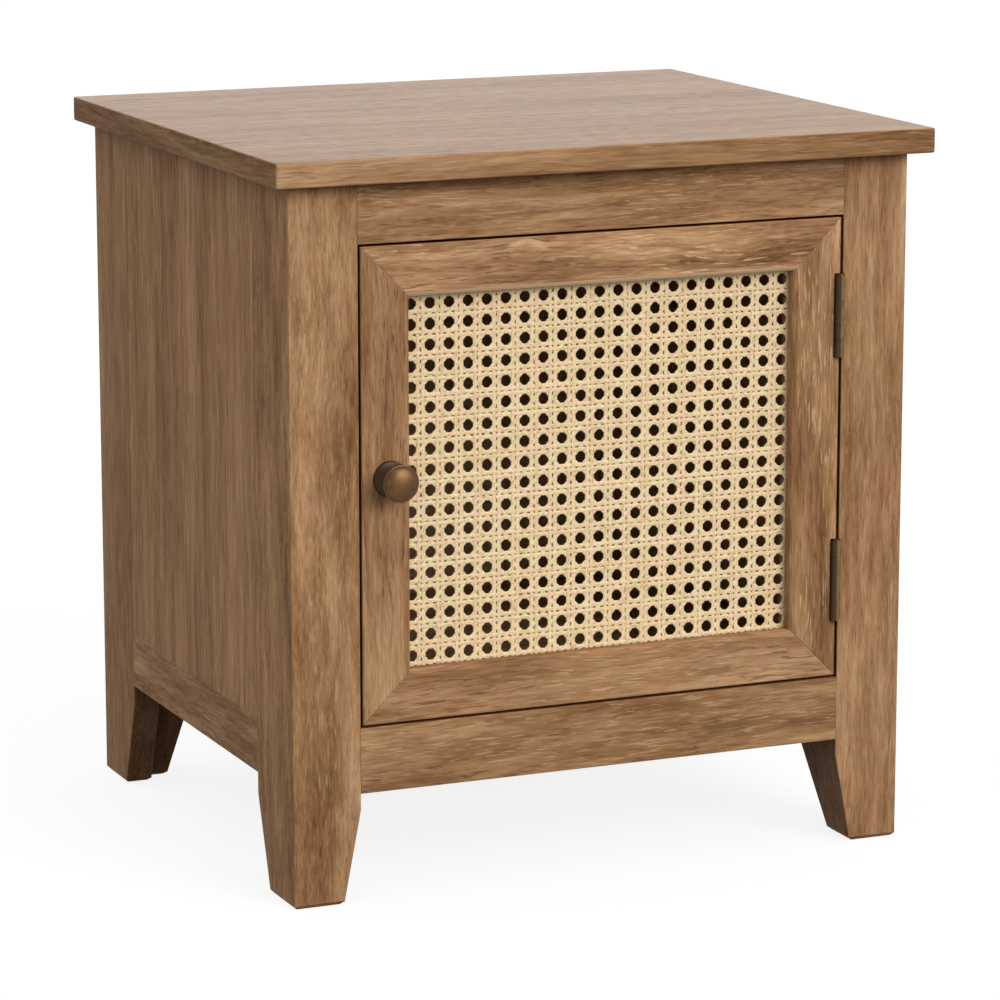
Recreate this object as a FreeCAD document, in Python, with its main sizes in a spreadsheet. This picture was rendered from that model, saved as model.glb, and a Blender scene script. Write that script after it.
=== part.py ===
import FreeCAD, Part
import math
import os

import Sketcher

# Storage side table with one cane door, in millimetres.
# +Z is up, +X is to the right of someone facing the door, and the door faces -Y.
# The origin is on the floor, in the middle of the whole table's width and depth.

SIZES = {
    # the whole table
    "overall_height": 560,
    "body_width": 505,
    "body_depth": 438,
    # the top
    "top_thickness": 19,
    "top_side_overhang": 15,
    "top_front_overhang": 17,
    "top_back_overhang": 9,
    "top_corner_radius": 3,
    "top_edge_radius": 1.5,
    # the posts: an outer board with a block behind it that stops short of the board's edge
    "post_width": 54,
    "post_depth": 75,
    "post_board": 22,
    "post_step": 13,
    "foot_width": 40,
    "foot_depth": 50,
    "taper_height": 72,
    "foot_chamfer": 3,
    "post_edge_radius": 1.2,
    # the rails
    "rail_thickness": 20,
    "top_rail_height": 45.5,
    "bottom_rail_height": 50,
    "bottom_rail_clearance": 84,
    "side_rail_height": 42,
    "side_rail_clearance": 88,
    # the side panels and their tongues
    "panel_thickness": 12,
    "tongue_thickness": 5,
    "tongue_length": 6,
    # the back panel and its rebate in the back posts
    "back_panel_thickness": 6,
    "back_rebate_width": 10,
    "back_panel_clearance": 0.5,
    "back_screw_margin": 30,
    # the cleats and the floor
    "top_cleat_width": 20,
    "top_cleat_height": 30,
    "floor_cleat_width": 20,
    "floor_cleat_height": 20,
    "floor_thickness": 12,
    # the dowels
    "dowel_radius": 4,
    "dowel_length": 30,
    "dowel_end_room": 1,
    "mitre_dowel_radius": 3,
    "mitre_dowel_length": 24,
    "mitre_dowel_inset": 17,
    # the door
    "door_gap": 2,
    "door_thickness": 20,
    "door_member_width": 39,
    "door_inner_chamfer": 3.2,
    "door_outer_chamfer": 0.8,
    "door_lip": 11,
    "door_rebate_width": 8,
    # the cane
    "cane_thickness": 2,
    "cane_clearance": 0.5,
    "cane_column_pitch": 15.25,
    "cane_row_pitch": 15.6,
    "cane_hole_width": 9.2,
    "bead_clearance": 0.25,
    # the knob
    "knob_inset": 22.4,
    "knob_rise": 185,
    "knob_base_radius": 13.3,
    "knob_base_thickness": 2,
    "knob_neck_radius": 5.5,
    "knob_neck_distance": 10,
    "knob_head_radius": 14.2,
    "knob_head_distance": 20.4,
    "knob_head_lip": 0.9,
    "knob_rim_thickness": 1.8,
    "knob_dome_height": 4.8,
    "knob_base_hollow": 9,
    "knob_neck_hollow": 10,
    "knob_screw_radius": 2,
    "knob_screw_grip": 10,
    "knob_screw_head_radius": 4,
    "knob_screw_head_height": 2.2,
    # the hinges
    "hinge_length": 63,
    "hinge_end_distance": 44,
    "hinge_barrel_radius": 4,
    "hinge_pin_radius": 1.5,
    "hinge_pin_head_radius": 2.9,
    "hinge_pin_head_height": 0.8,
    "hinge_pin_inset": 3,
    "hinge_pin_forward": 1,
    "hinge_leaf_thickness": 1.2,
    "hinge_leaf_let_in": 0.6,
    "hinge_leaf_width": 17,
    "hinge_notch_clearance": 0.4,
    "knuckle_gap": 0.3,
    "running_clearance": 0.05,
    # the screws
    "small_screw_radius": 1.5,
    "small_screw_head_radius": 2.9,
    "small_screw_head_height": 1.1,
    "small_screw_length": 14,
    "top_screw_radius": 2,
    "top_screw_head_radius": 4,
    "top_screw_head_height": 2.5,
    "top_screw_bite": 12,
    "hole_end_room": 0.5,
    # the magnetic catch
    "catch_drop": 15.5,
    "catch_flange_length": 56,
    "catch_flange_depth": 13,
    "catch_flange_thickness": 2.5,
    "catch_case_length": 36,
    "catch_case_depth": 18,
    "catch_case_width": 14,
    "catch_case_radius": 1.5,
    "catch_gap": 0.3,
    "catch_plate_width": 12,
    "catch_plate_thickness": 1.2,
    "catch_plate_edge": 1,
}

# Lines and planes of the table, worked out from the sizes.
BODY_HEIGHT = "(sizes.overall_height - sizes.top_thickness)"
KNOB_REACH = "(sizes.knob_head_distance + sizes.knob_rim_thickness + sizes.knob_dome_height)"
FACE_Y = f"(({KNOB_REACH} - sizes.body_depth - sizes.top_back_overhang) / 2)"
BACK_Y = f"({FACE_Y} + sizes.body_depth)"
SIDE_X = "(sizes.body_width / 2)"
OPENING_X = f"({SIDE_X} - sizes.post_width)"
OPENING_WIDTH = f"(2 * {OPENING_X})"
OPENING_Z = "(sizes.bottom_rail_clearance + sizes.bottom_rail_height)"
OPENING_HEIGHT = f"({BODY_HEIGHT} - sizes.top_rail_height - {OPENING_Z})"
PANEL_Z = "(sizes.side_rail_clearance + sizes.side_rail_height)"
PANEL_DEPTH = "(sizes.body_depth - 2 * sizes.post_depth)"
TONGUE_INSET = "((sizes.panel_thickness - sizes.tongue_thickness) / 2)"
BACK_RAIL_INSET = "(sizes.back_panel_thickness + sizes.rail_thickness)"
DOOR_X = f"(sizes.door_gap - {OPENING_X})"
DOOR_Z = f"({OPENING_Z} + sizes.door_gap)"
DOOR_WIDTH = f"({OPENING_WIDTH} - 2 * sizes.door_gap)"
DOOR_HEIGHT = f"({OPENING_HEIGHT} - 2 * sizes.door_gap)"
CANE_EDGE = "(sizes.door_member_width - sizes.door_rebate_width + sizes.cane_clearance)"
AXIS_X = f"({OPENING_X} - sizes.hinge_pin_inset)"
AXIS_Y = f"({FACE_Y} - sizes.hinge_pin_forward)"
AXIS_IN_DOOR = f"({DOOR_WIDTH} + sizes.door_gap - sizes.hinge_pin_inset)"
LOWER_HINGE_Z = f"({DOOR_Z} + sizes.hinge_end_distance)"
UPPER_HINGE_Z = f"({DOOR_Z} + {DOOR_HEIGHT} - sizes.hinge_end_distance - sizes.hinge_length)"
DOWEL_HOLE_DEPTH = "(sizes.dowel_length / 2 + sizes.dowel_end_room)"
PILOT_RADIUS = "(sizes.small_screw_radius + sizes.running_clearance)"
HEAD_HOLE_RADIUS = "(sizes.small_screw_head_radius + sizes.running_clearance)"
TOP_SCREW_HOLE = "(sizes.top_screw_radius + sizes.running_clearance)"
BACK_SCREW_BITE = "(sizes.small_screw_length - sizes.back_panel_thickness + sizes.hole_end_room)"
CATCH_Y = f"({FACE_Y} + sizes.door_thickness + sizes.catch_plate_thickness + sizes.catch_gap)"
CATCH_MIDDLE_Z = f"({DOOR_Z} + {DOOR_HEIGHT} - sizes.catch_drop - sizes.catch_case_length / 2)"
CATCH_Z = f"({CATCH_MIDDLE_Z} - sizes.catch_flange_length / 2)"
NOTCH_RADIUS = "(sizes.hinge_barrel_radius + sizes.hinge_notch_clearance)"
NOTCH_LENGTH = (
    "(sizes.hinge_length + sizes.hinge_pin_head_height + 2 * sizes.hinge_notch_clearance)"
)

HINGES = {"upper": UPPER_HINGE_Z, "lower": LOWER_HINGE_Z}
KNUCKLES = 5
HINGE_SCREWS = 3
DOWELS_PER_END = 2
BACK_SCREWS_PER_RAIL = 4
TOP_SCREWS_PER_CLEAT = 2

LEFT, RIGHT = FreeCAD.Vector(-1, 0, 0), FreeCAD.Vector(1, 0, 0)
FORWARD, BACK = FreeCAD.Vector(0, -1, 0), FreeCAD.Vector(0, 1, 0)
UP, DOWN = FreeCAD.Vector(0, 0, 1), FreeCAD.Vector(0, 0, -1)

doc = FreeCAD.newDocument("side_table")
sheet = doc.addObject("Spreadsheet::Sheet", "sizes")
for row, (alias, number) in enumerate(SIZES.items(), 1):
    sheet.set(f"A{row}", alias)
    sheet.set(f"B{row}", str(number))
    sheet.setAlias(f"B{row}", alias)
doc.recompute()

nodes = []


# Small tools for expressions.

def value(expression):
    """The number that an expression of the sheet gives."""
    return float(sheet.evalExpression(expression))


def signed(sign, expression):
    """The expression, or its negative."""
    return expression if sign > 0 else f"(-{expression})"


def low_end(sign, start, length):
    """Low end of a stretch that starts at start and runs length towards sign."""
    return start if sign > 0 else f"(-({start} + {length}))"


def shares(count, length):
    """Middles of count equal parts of a length."""
    return [f"({length} * {2 * index + 1} / {2 * count})" for index in range(count)]


def place(item, x, y, z, turn=None):
    """Binds an object's position to three expressions."""
    item.Placement = FreeCAD.Placement(FreeCAD.Vector(), turn or FreeCAD.Rotation())
    for axis, expression in zip("xyz", (x, y, z)):
        item.setExpression(f"Placement.Base.{axis}", expression)


def bind(item, **lengths):
    """Binds an object's lengths to expressions."""
    for name, expression in lengths.items():
        item.setExpression(name, expression)


# Small tools for bodies.

def new_body(label, x, y, z, turn=None):
    """Empty body for a piece, at its place."""
    body = doc.addObject("PartDesign::Body", label)
    body.Label = label
    place(body, x, y, z, turn)
    nodes.append(body)
    return body


def add_sketch(body, role, name):
    """Sketch on one of the body's own origin planes."""
    plane = next(item for item in body.Origin.OriginFeatures if item.Role == role)
    sketch = body.newObject("Sketcher::SketchObject", name)
    sketch.AttachmentSupport = [(plane, "")]
    sketch.MapMode = "FlatFace"
    return sketch


def arc_between(start, end, radius, centre_side):
    """Arc from start to end, and whether it runs that way; its centre is on the left or right."""
    chord = end - start
    across = FreeCAD.Vector(-chord.y, chord.x, 0).normalize()
    reach = math.sqrt(max(radius**2 - (chord.Length / 2) ** 2, 0))
    centre = (start + end) / 2 + across * (reach if centre_side == "left" else -reach)
    first, last = (start, end) if centre_side == "left" else (end, start)
    angles = [math.atan2(point.y - centre.y, point.x - centre.x) for point in (first, last)]
    if angles[1] < angles[0]:
        angles[1] += 2 * math.pi
    circle = Part.Circle(centre, UP, radius)
    return Part.ArcOfCircle(circle, *angles), centre_side == "left"


def add_outline(body, role, name, corners, arcs=None):
    """Closed outline through corners; arcs gives some sides a radius and the side of its centre."""
    sketch = add_sketch(body, role, name)
    arcs = arcs or {}
    points = [FreeCAD.Vector(value(x), value(y), 0) for x, y in corners]
    count = len(points)
    ends = []
    for index, start in enumerate(points):
        end = points[(index + 1) % count]
        if index in arcs:
            radius, centre_side = arcs[index]
            curve, forwards = arc_between(start, end, value(radius), centre_side)
        else:
            curve, forwards = Part.LineSegment(start, end), True
        sketch.addGeometry(curve, False)
        ends.append((1, 2) if forwards else (2, 1))
    for index in range(count):
        after = (index + 1) % count
        sketch.addConstraint(
            Sketcher.Constraint("Coincident", index, ends[index][1], after, ends[after][0])
        )
    for index, corner in enumerate(corners):
        for letter, expression in zip("XY", corner):
            constraint = Sketcher.Constraint(
                f"Distance{letter}", -1, 1, index, ends[index][0], value(expression)
            )
            number = sketch.addConstraint(constraint)
            sketch.setExpression(f"Constraints[{number}]", expression)
    for index, (radius, _) in arcs.items():
        number = sketch.addConstraint(Sketcher.Constraint("Radius", index, value(radius)))
        sketch.setExpression(f"Constraints[{number}]", radius)
    return sketch


def rectangle(x, y, width, height):
    """Corners of a rectangle from its low corner and size."""
    right, top = f"({x} + {width})", f"({y} + {height})"
    return [(x, y), (right, y), (right, top), (x, top)]


def pad(body, name, role, corners, length, reverse=False, arcs=None):
    """Solid raised from an outline."""
    feature = body.newObject("PartDesign::Pad", name)
    feature.Profile = add_outline(body, role, f"{name}_outline", corners, arcs)
    feature.Reversed = reverse
    bind(feature, Length=length)
    body.Tip = feature
    doc.recompute()
    return feature


def need_less(body, before, name):
    """Stops if a cut took nothing away."""
    doc.recompute()
    if not body.Shape.Volume < before:
        raise RuntimeError(f"{name} cuts nothing from {body.Label}")


def pocket(body, name, role, corners, length, reverse=False):
    """Pocket cut with an outline; without reverse it runs against the plane's normal."""
    before = body.Shape.Volume
    feature = body.newObject("PartDesign::Pocket", name)
    feature.Profile = add_outline(body, role, f"{name}_outline", corners)
    feature.Reversed = reverse
    bind(feature, Length=length)
    body.Tip = feature
    need_less(body, before, name)


def add_box(body, name, low, size):
    """Box joined to the body."""
    feature = body.newObject("PartDesign::AdditiveBox", name)
    bind(feature, Length=size[0], Width=size[1], Height=size[2])
    place(feature, *low)
    doc.recompute()


def add_rod(body, name, at, towards, radius, length):
    """Round rod joined to the body."""
    feature = body.newObject("PartDesign::AdditiveCylinder", name)
    bind(feature, Radius=radius, Height=length)
    place(feature, *at, turn=FreeCAD.Rotation(UP, towards))
    doc.recompute()


def cut_box(body, name, low, size):
    """Box taken out of the body."""
    before = body.Shape.Volume
    feature = body.newObject("PartDesign::SubtractiveBox", name)
    bind(feature, Length=size[0], Width=size[1], Height=size[2])
    place(feature, *low)
    need_less(body, before, name)


def drill(body, name, at, towards, radius, depth):
    """Round hole that starts at a point and runs depth towards a direction."""
    before = body.Shape.Volume
    feature = body.newObject("PartDesign::SubtractiveCylinder", name)
    bind(feature, Radius=radius, Height=depth)
    place(feature, *at, turn=FreeCAD.Rotation(UP, towards))
    need_less(body, before, name)


def drill_for_dowel(body, name, at, towards):
    """Hole for half a rail dowel."""
    drill(body, name, at, towards, "sizes.dowel_radius", DOWEL_HOLE_DEPTH)


def drill_pilot(body, name, at, towards):
    """Hole for the whole length of a small screw."""
    drill(body, name, at, towards, PILOT_RADIUS, "sizes.small_screw_length")


def countersink(body, name, at, towards, head_radius, shank_radius, depth):
    """Conical hole for a flat screw head."""
    before = body.Shape.Volume
    feature = body.newObject("PartDesign::SubtractiveCone", name)
    bind(feature, Radius1=head_radius, Radius2=shank_radius, Height=depth)
    place(feature, *at, turn=FreeCAD.Rotation(UP, towards))
    need_less(body, before, name)


def ease(body, name, kind, size, wanted):
    """Fillet or chamfer on the edges that wanted picks."""
    base = body.Tip
    picked = [f"Edge{i}" for i, edge in enumerate(base.Shape.Edges, 1) if wanted(edge.BoundBox)]
    if not picked:
        raise RuntimeError(f"{name} finds no edge on {body.Label}")
    feature = body.newObject(f"PartDesign::{kind}", name)
    feature.Base = (base, picked)
    bind(feature, **{"Radius" if kind == "Fillet" else "Size": size})
    body.Tip = feature
    doc.recompute()


def near(first, second):
    """Whether two lengths are the same for picking an edge."""
    return abs(first - second) < 0.01


# Small tools for groups of fasteners.

def rod(name, at, towards, radius, length):
    """Plain round rod."""
    item = doc.addObject("Part::Cylinder", name)
    bind(item, Radius=radius, Height=length)
    place(item, *at, turn=FreeCAD.Rotation(UP, towards))
    return item


def along(at, towards, distance):
    """A point moved a distance towards a direction."""
    return [f"({part} + {step} * {distance})" for part, step in zip(at, towards)]


def countersunk_screw(name, at, towards, radius, head_radius, head_height, length):
    """Screw whose flat head ends at a point and whose shank runs towards a direction."""
    head = doc.addObject("Part::Cone", f"{name}_head")
    bind(head, Radius1=head_radius, Radius2=radius, Height=head_height)
    place(head, *at, turn=FreeCAD.Rotation(UP, towards))
    shank = rod(
        f"{name}_shank", along(at, towards, head_height), towards, radius, f"({length} - {head_height})"
    )
    return join(name, head, shank)


def pan_screw(name, at, towards, radius, head_radius, head_height, length):
    """Screw whose head stands on a surface at a point and whose shank runs towards a direction."""
    head = rod(f"{name}_head", at, -towards, head_radius, head_height)
    shank = rod(f"{name}_shank", at, towards, radius, length)
    return join(name, head, shank)


def join(name, first, second):
    """One solid of two that touch."""
    item = doc.addObject("Part::Fuse", name)
    item.Base = first
    item.Tool = second
    return item


def group(label, members):
    """One node of separate solids."""
    item = doc.addObject("Part::Compound", label)
    item.Label = label
    item.Links = members
    nodes.append(item)
    doc.recompute()


# The top.

def make_top():
    """Top board with round corners, round edges and blind holes for its screws."""
    left = f"(-{SIDE_X} - sizes.top_side_overhang)"
    front = f"({FACE_Y} - sizes.top_front_overhang)"
    width = "(sizes.body_width + 2 * sizes.top_side_overhang)"
    depth = "(sizes.body_depth + sizes.top_front_overhang + sizes.top_back_overhang)"
    body = new_body("table_top", left, front, BODY_HEIGHT)
    pad(body, "board", "XY_Plane", rectangle("0", "0", width, depth), "sizes.top_thickness")
    thickness = value("sizes.top_thickness")
    ease(
        body,
        "corners",
        "Fillet",
        "sizes.top_corner_radius",
        lambda box: near(box.ZLength, thickness),
    )
    ease(body, "edges", "Fillet", "sizes.top_edge_radius", lambda box: near(box.ZLength, 0))
    for number, (x, y) in enumerate(top_screw_places(), 1):
        at = (f"({x} - {left})", f"({y} - {front})", "0")
        depth = "(sizes.top_screw_bite + sizes.hole_end_room)"
        drill(body, f"screw_hole_{number}", at, UP, TOP_SCREW_HOLE, depth)


def top_screw_places():
    """Where the top's screws stand: in the middle of each cleat, shared along it."""
    inset = "(sizes.panel_thickness + sizes.top_cleat_width / 2)"
    places = []
    for side in (-1, 1):
        x = signed(side, f"({SIDE_X} - {inset})")
        for share in shares(TOP_SCREWS_PER_CLEAT, PANEL_DEPTH):
            places.append((x, f"({FACE_Y} + sizes.post_depth + {share})"))
    return places


# The posts.

def make_post(label, x_sign, y_sign):
    """Corner post that reaches x_sign and y_sign from its outer corner, tapered to its foot."""
    x = signed(-x_sign, SIDE_X)
    y = FACE_Y if y_sign > 0 else BACK_Y
    body = new_body(label, x, y, "0")
    width = signed(x_sign, "sizes.post_width")

    def profile(shortened):
        foot = signed(y_sign, f"(sizes.foot_depth - {shortened})")
        full = signed(y_sign, f"(sizes.post_depth - {shortened})")
        return [
            ("0", "0"),
            (foot, "0"),
            (full, "sizes.taper_height"),
            (full, BODY_HEIGHT),
            ("0", BODY_HEIGHT),
        ]

    pad(body, "board", "YZ_Plane", profile("0"), "sizes.post_board", reverse=x_sign < 0)
    pad(body, "block", "YZ_Plane", profile("sizes.post_step"), "sizes.post_width", reverse=x_sign < 0)
    taper = [(signed(x_sign, "sizes.foot_width"), "0"), (width, "sizes.taper_height"), (width, "0")]
    pocket(body, "taper", "XZ_Plane", taper, "sizes.post_depth", reverse=y_sign < 0)
    ease(body, "foot_edge", "Chamfer", "sizes.foot_chamfer", lambda box: near(box.ZMax, 0))
    height = value(BODY_HEIGHT) - value("sizes.foot_chamfer")
    ease(
        body,
        "outer_edge",
        "Fillet",
        "sizes.post_edge_radius",
        lambda box: near(box.ZLength, height) and near(box.XMin, 0) and near(box.YMin, 0),
    )
    groove_low = (
        low_end(x_sign, TONGUE_INSET, "sizes.tongue_thickness"),
        low_end(y_sign, "(sizes.post_depth - sizes.tongue_length)", "sizes.tongue_length"),
        f"({PANEL_Z} - sizes.tongue_length)",
    )
    groove_height = f"({BODY_HEIGHT} - {PANEL_Z} + sizes.tongue_length)"
    cut_box(
        body, "panel_groove", groove_low, ("sizes.tongue_thickness", "sizes.tongue_length", groove_height)
    )
    drill_rail_holes(body, x_sign, y_sign)
    if y_sign < 0:
        rebate_low = (
            low_end(x_sign, "(sizes.post_width - sizes.back_rebate_width)", "sizes.back_rebate_width"),
            "-sizes.back_panel_thickness",
            "sizes.bottom_rail_clearance",
        )
        rebate_size = (
            "sizes.back_rebate_width",
            "sizes.back_panel_thickness",
            f"({BODY_HEIGHT} - sizes.bottom_rail_clearance)",
        )
        cut_box(body, "back_rebate", rebate_low, rebate_size)
    return body


def dowel_heights(low, height):
    """Heights of the dowels in a rail's end."""
    return [f"({low} + {share})" for share in shares(DOWELS_PER_END, height)]


def cross_rail_ends(y_sign):
    """Heights of the dowels in the rails of the front or back, and how deep they lie."""
    depth = "(sizes.rail_thickness / 2)"
    if y_sign < 0:
        depth = f"({BACK_RAIL_INSET} - sizes.rail_thickness / 2)"
    low = dowel_heights("sizes.bottom_rail_clearance", "sizes.bottom_rail_height")
    high = dowel_heights(f"({BODY_HEIGHT} - sizes.top_rail_height)", "sizes.top_rail_height")
    return depth, low + high


def side_rail_ends():
    """Heights of the dowels in a side rail."""
    return dowel_heights("sizes.side_rail_clearance", "sizes.side_rail_height")


def drill_rail_holes(body, x_sign, y_sign):
    """Dowel holes for the rails that meet a post."""
    depth, heights = cross_rail_ends(y_sign)
    for number, height in enumerate(heights, 1):
        at = (signed(x_sign, "sizes.post_width"), signed(y_sign, depth), height)
        drill_for_dowel(body, f"cross_dowel_hole_{number}", at, RIGHT * -x_sign)
    for number, height in enumerate(side_rail_ends(), 1):
        at = (signed(x_sign, "(sizes.rail_thickness / 2)"), signed(y_sign, "sizes.post_depth"), height)
        drill_for_dowel(body, f"side_dowel_hole_{number}", at, BACK * -y_sign)


def make_posts():
    """The four posts, with the fixings of the hinges and the catch in the front ones."""
    front_left = make_post("front_left_post", 1, 1)
    front_right = make_post("front_right_post", -1, 1)
    make_post("back_left_post", 1, -1)
    make_post("back_right_post", -1, -1)
    inner_face = "(-sizes.post_width)"
    axis_x = f"({inner_face} - sizes.hinge_pin_inset)"
    for name, z in HINGES.items():
        cut_box(
            front_right,
            f"{name}_leaf_housing",
            (inner_face, "0", z),
            ("sizes.hinge_leaf_let_in", "sizes.hinge_leaf_width", "sizes.hinge_length"),
        )
        notch_at = (axis_x, "(-sizes.hinge_pin_forward)", f"({z} - sizes.hinge_notch_clearance)")
        drill(front_right, f"{name}_barrel_notch", notch_at, UP, NOTCH_RADIUS, NOTCH_LENGTH)
        for number, height in enumerate(shares(HINGE_SCREWS, "sizes.hinge_length"), 1):
            at = (inner_face, "(sizes.hinge_leaf_width / 2)", f"({z} + {height})")
            drill_pilot(front_right, f"{name}_pilot_{number}", at, RIGHT)
    for number, height in enumerate(catch_screw_heights(), 1):
        at = ("sizes.post_width", f"({CATCH_Y} - {FACE_Y} + sizes.catch_flange_depth / 2)", height)
        drill_pilot(front_left, f"catch_pilot_{number}", at, LEFT)


# The rails, panels and cleats.

def make_cross_rail(label, y, z, height):
    """Rail between two posts, with dowel holes in both ends."""
    body = new_body(label, f"(-{OPENING_X})", y, z)
    pad(body, "rail", "YZ_Plane", rectangle("0", "0", "sizes.rail_thickness", height), OPENING_WIDTH)
    for number, share in enumerate(shares(DOWELS_PER_END, height), 1):
        for x, towards, side in (("0", RIGHT, "left"), (OPENING_WIDTH, LEFT, "right")):
            at = (x, "(sizes.rail_thickness / 2)", share)
            drill_for_dowel(body, f"{side}_dowel_hole_{number}", at, towards)
    return body


def make_rails():
    """Front and back rails, the back ones drilled for the back panel's screws."""
    high_z = f"({BODY_HEIGHT} - sizes.top_rail_height)"
    low_z = "sizes.bottom_rail_clearance"
    make_cross_rail("front_top_rail", FACE_Y, high_z, "sizes.top_rail_height")
    make_cross_rail("front_bottom_rail", FACE_Y, low_z, "sizes.bottom_rail_height")
    back_y = f"({BACK_Y} - {BACK_RAIL_INSET})"
    for label, z, height in (
        ("back_top_rail", high_z, "sizes.top_rail_height"),
        ("back_bottom_rail", low_z, "sizes.bottom_rail_height"),
    ):
        rail = make_cross_rail(label, back_y, z, height)
        for number, x in enumerate(back_screw_offsets(), 1):
            at = (x, "sizes.rail_thickness", f"({height} / 2)")
            drill(rail, f"screw_pilot_{number}", at, FORWARD, PILOT_RADIUS, BACK_SCREW_BITE)


def back_screw_offsets():
    """Distances of the back panel's screws from the left end of a back rail."""
    span = f"({OPENING_WIDTH} - 2 * sizes.back_screw_margin)"
    gaps = BACK_SCREWS_PER_RAIL - 1
    return [f"(sizes.back_screw_margin + {span} * {index} / {gaps})" for index in range(gaps + 1)]


def make_sides():
    """Low rail, panel and cleats of each side."""
    for side, sign in (("left", 1), ("right", -1)):
        x = signed(-sign, SIDE_X)
        y = f"({FACE_Y} + sizes.post_depth)"
        reverse = sign < 0
        rail = new_body(f"{side}_side_rail", x, y, "sizes.side_rail_clearance")
        section = rectangle("0", "0", PANEL_DEPTH, "sizes.side_rail_height")
        pad(rail, "rail", "YZ_Plane", section, "sizes.rail_thickness", reverse)
        groove_low = (
            low_end(sign, TONGUE_INSET, "sizes.tongue_thickness"),
            "0",
            "(sizes.side_rail_height - sizes.tongue_length)",
        )
        groove_size = ("sizes.tongue_thickness", PANEL_DEPTH, "sizes.tongue_length")
        cut_box(rail, "panel_groove", groove_low, groove_size)
        for number, share in enumerate(shares(DOWELS_PER_END, "sizes.side_rail_height"), 1):
            for hole_y, towards, end in (("0", BACK, "front"), (PANEL_DEPTH, FORWARD, "back")):
                at = (signed(sign, "(sizes.rail_thickness / 2)"), hole_y, share)
                drill_for_dowel(rail, f"{end}_dowel_hole_{number}", at, towards)

        panel = new_body(f"{side}_side_panel", x, y, PANEL_Z)
        height = f"({BODY_HEIGHT} - {PANEL_Z})"
        section = rectangle("0", "0", PANEL_DEPTH, height)
        pad(panel, "panel", "YZ_Plane", section, "sizes.panel_thickness", reverse)
        add_box(
            panel,
            "tongue",
            (groove_low[0], "-sizes.tongue_length", "-sizes.tongue_length"),
            (
                "sizes.tongue_thickness",
                f"({PANEL_DEPTH} + 2 * sizes.tongue_length)",
                f"({height} + sizes.tongue_length)",
            ),
        )

        inset = "sizes.panel_thickness"
        cleat_x = signed(-sign, f"({SIDE_X} - {inset})")
        cleat_z = f"({BODY_HEIGHT} - sizes.top_cleat_height)"
        cleat = new_body(f"{side}_top_cleat", cleat_x, y, cleat_z)
        section = rectangle("0", "0", PANEL_DEPTH, "sizes.top_cleat_height")
        pad(cleat, "cleat", "YZ_Plane", section, "sizes.top_cleat_width", reverse)
        for number, share in enumerate(shares(TOP_SCREWS_PER_CLEAT, PANEL_DEPTH), 1):
            at = (signed(sign, "(sizes.top_cleat_width / 2)"), share, "0")
            drill(cleat, f"screw_hole_{number}", at, UP, TOP_SCREW_HOLE, "sizes.top_cleat_height")

        cleat_x = signed(-sign, f"({SIDE_X} - sizes.rail_thickness)")
        cleat_z = f"({PANEL_Z} - sizes.floor_thickness - sizes.floor_cleat_height)"
        cleat = new_body(f"{side}_floor_cleat", cleat_x, y, cleat_z)
        section = rectangle("0", "0", PANEL_DEPTH, "sizes.floor_cleat_height")
        pad(cleat, "cleat", "YZ_Plane", section, "sizes.floor_cleat_width", reverse)


def notched_board(half_width, notch_x, front, back, front_notch, back_notch):
    """Corners of a board between y front and back that steps in around the four posts."""
    return [
        (f"(-{notch_x})", front),
        (notch_x, front),
        (notch_x, front_notch),
        (half_width, front_notch),
        (half_width, back_notch),
        (notch_x, back_notch),
        (notch_x, back),
        (f"(-{notch_x})", back),
        (f"(-{notch_x})", back_notch),
        (f"(-{half_width})", back_notch),
        (f"(-{half_width})", front_notch),
        (f"(-{notch_x})", front_notch),
    ]


def make_floor():
    """Cabinet floor, glued in around the posts."""
    floor = new_body("cabinet_floor", "0", FACE_Y, f"({PANEL_Z} - sizes.floor_thickness)")
    corners = notched_board(
        f"({SIDE_X} - sizes.rail_thickness)",
        OPENING_X,
        "sizes.rail_thickness",
        f"(sizes.body_depth - {BACK_RAIL_INSET})",
        "sizes.post_depth",
        "(sizes.body_depth - sizes.post_depth)",
    )
    pad(floor, "board", "XY_Plane", corners, "sizes.floor_thickness")


def make_back_panel():
    """Thin back that lies in the posts' rebates and over the back rails."""
    half_width = f"({OPENING_X} + sizes.back_rebate_width - sizes.back_panel_clearance)"
    height = f"({BODY_HEIGHT} - sizes.bottom_rail_clearance)"
    y = f"({BACK_Y} - sizes.back_panel_thickness)"
    body = new_body("back_panel", f"(-{half_width})", y, "sizes.bottom_rail_clearance")
    section = rectangle("0", "0", f"(2 * {half_width})", height)
    pad(body, "panel", "XZ_Plane", section, "sizes.back_panel_thickness", reverse=True)
    edge = f"({half_width} - {OPENING_X})"
    screws = []
    for row_name, z in (
        ("low", "(sizes.bottom_rail_height / 2)"),
        ("high", f"({height} - sizes.top_rail_height / 2)"),
    ):
        for number, offset in enumerate(back_screw_offsets(), 1):
            at = (f"({edge} + {offset})", "sizes.back_panel_thickness", z)
            thickness = "sizes.back_panel_thickness"
            drill(body, f"{row_name}_hole_{number}", at, FORWARD, PILOT_RADIUS, thickness)
            at = (f"({offset} - {OPENING_X})", BACK_Y, f"(sizes.bottom_rail_clearance + {z})")
            screws.append(
                pan_screw(
                    f"back_screw_{row_name}_{number}",
                    at,
                    FORWARD,
                    "sizes.small_screw_radius",
                    "sizes.small_screw_head_radius",
                    "sizes.small_screw_head_height",
                    "sizes.small_screw_length",
                )
            )
    group("back_panel_screws", screws)


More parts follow.
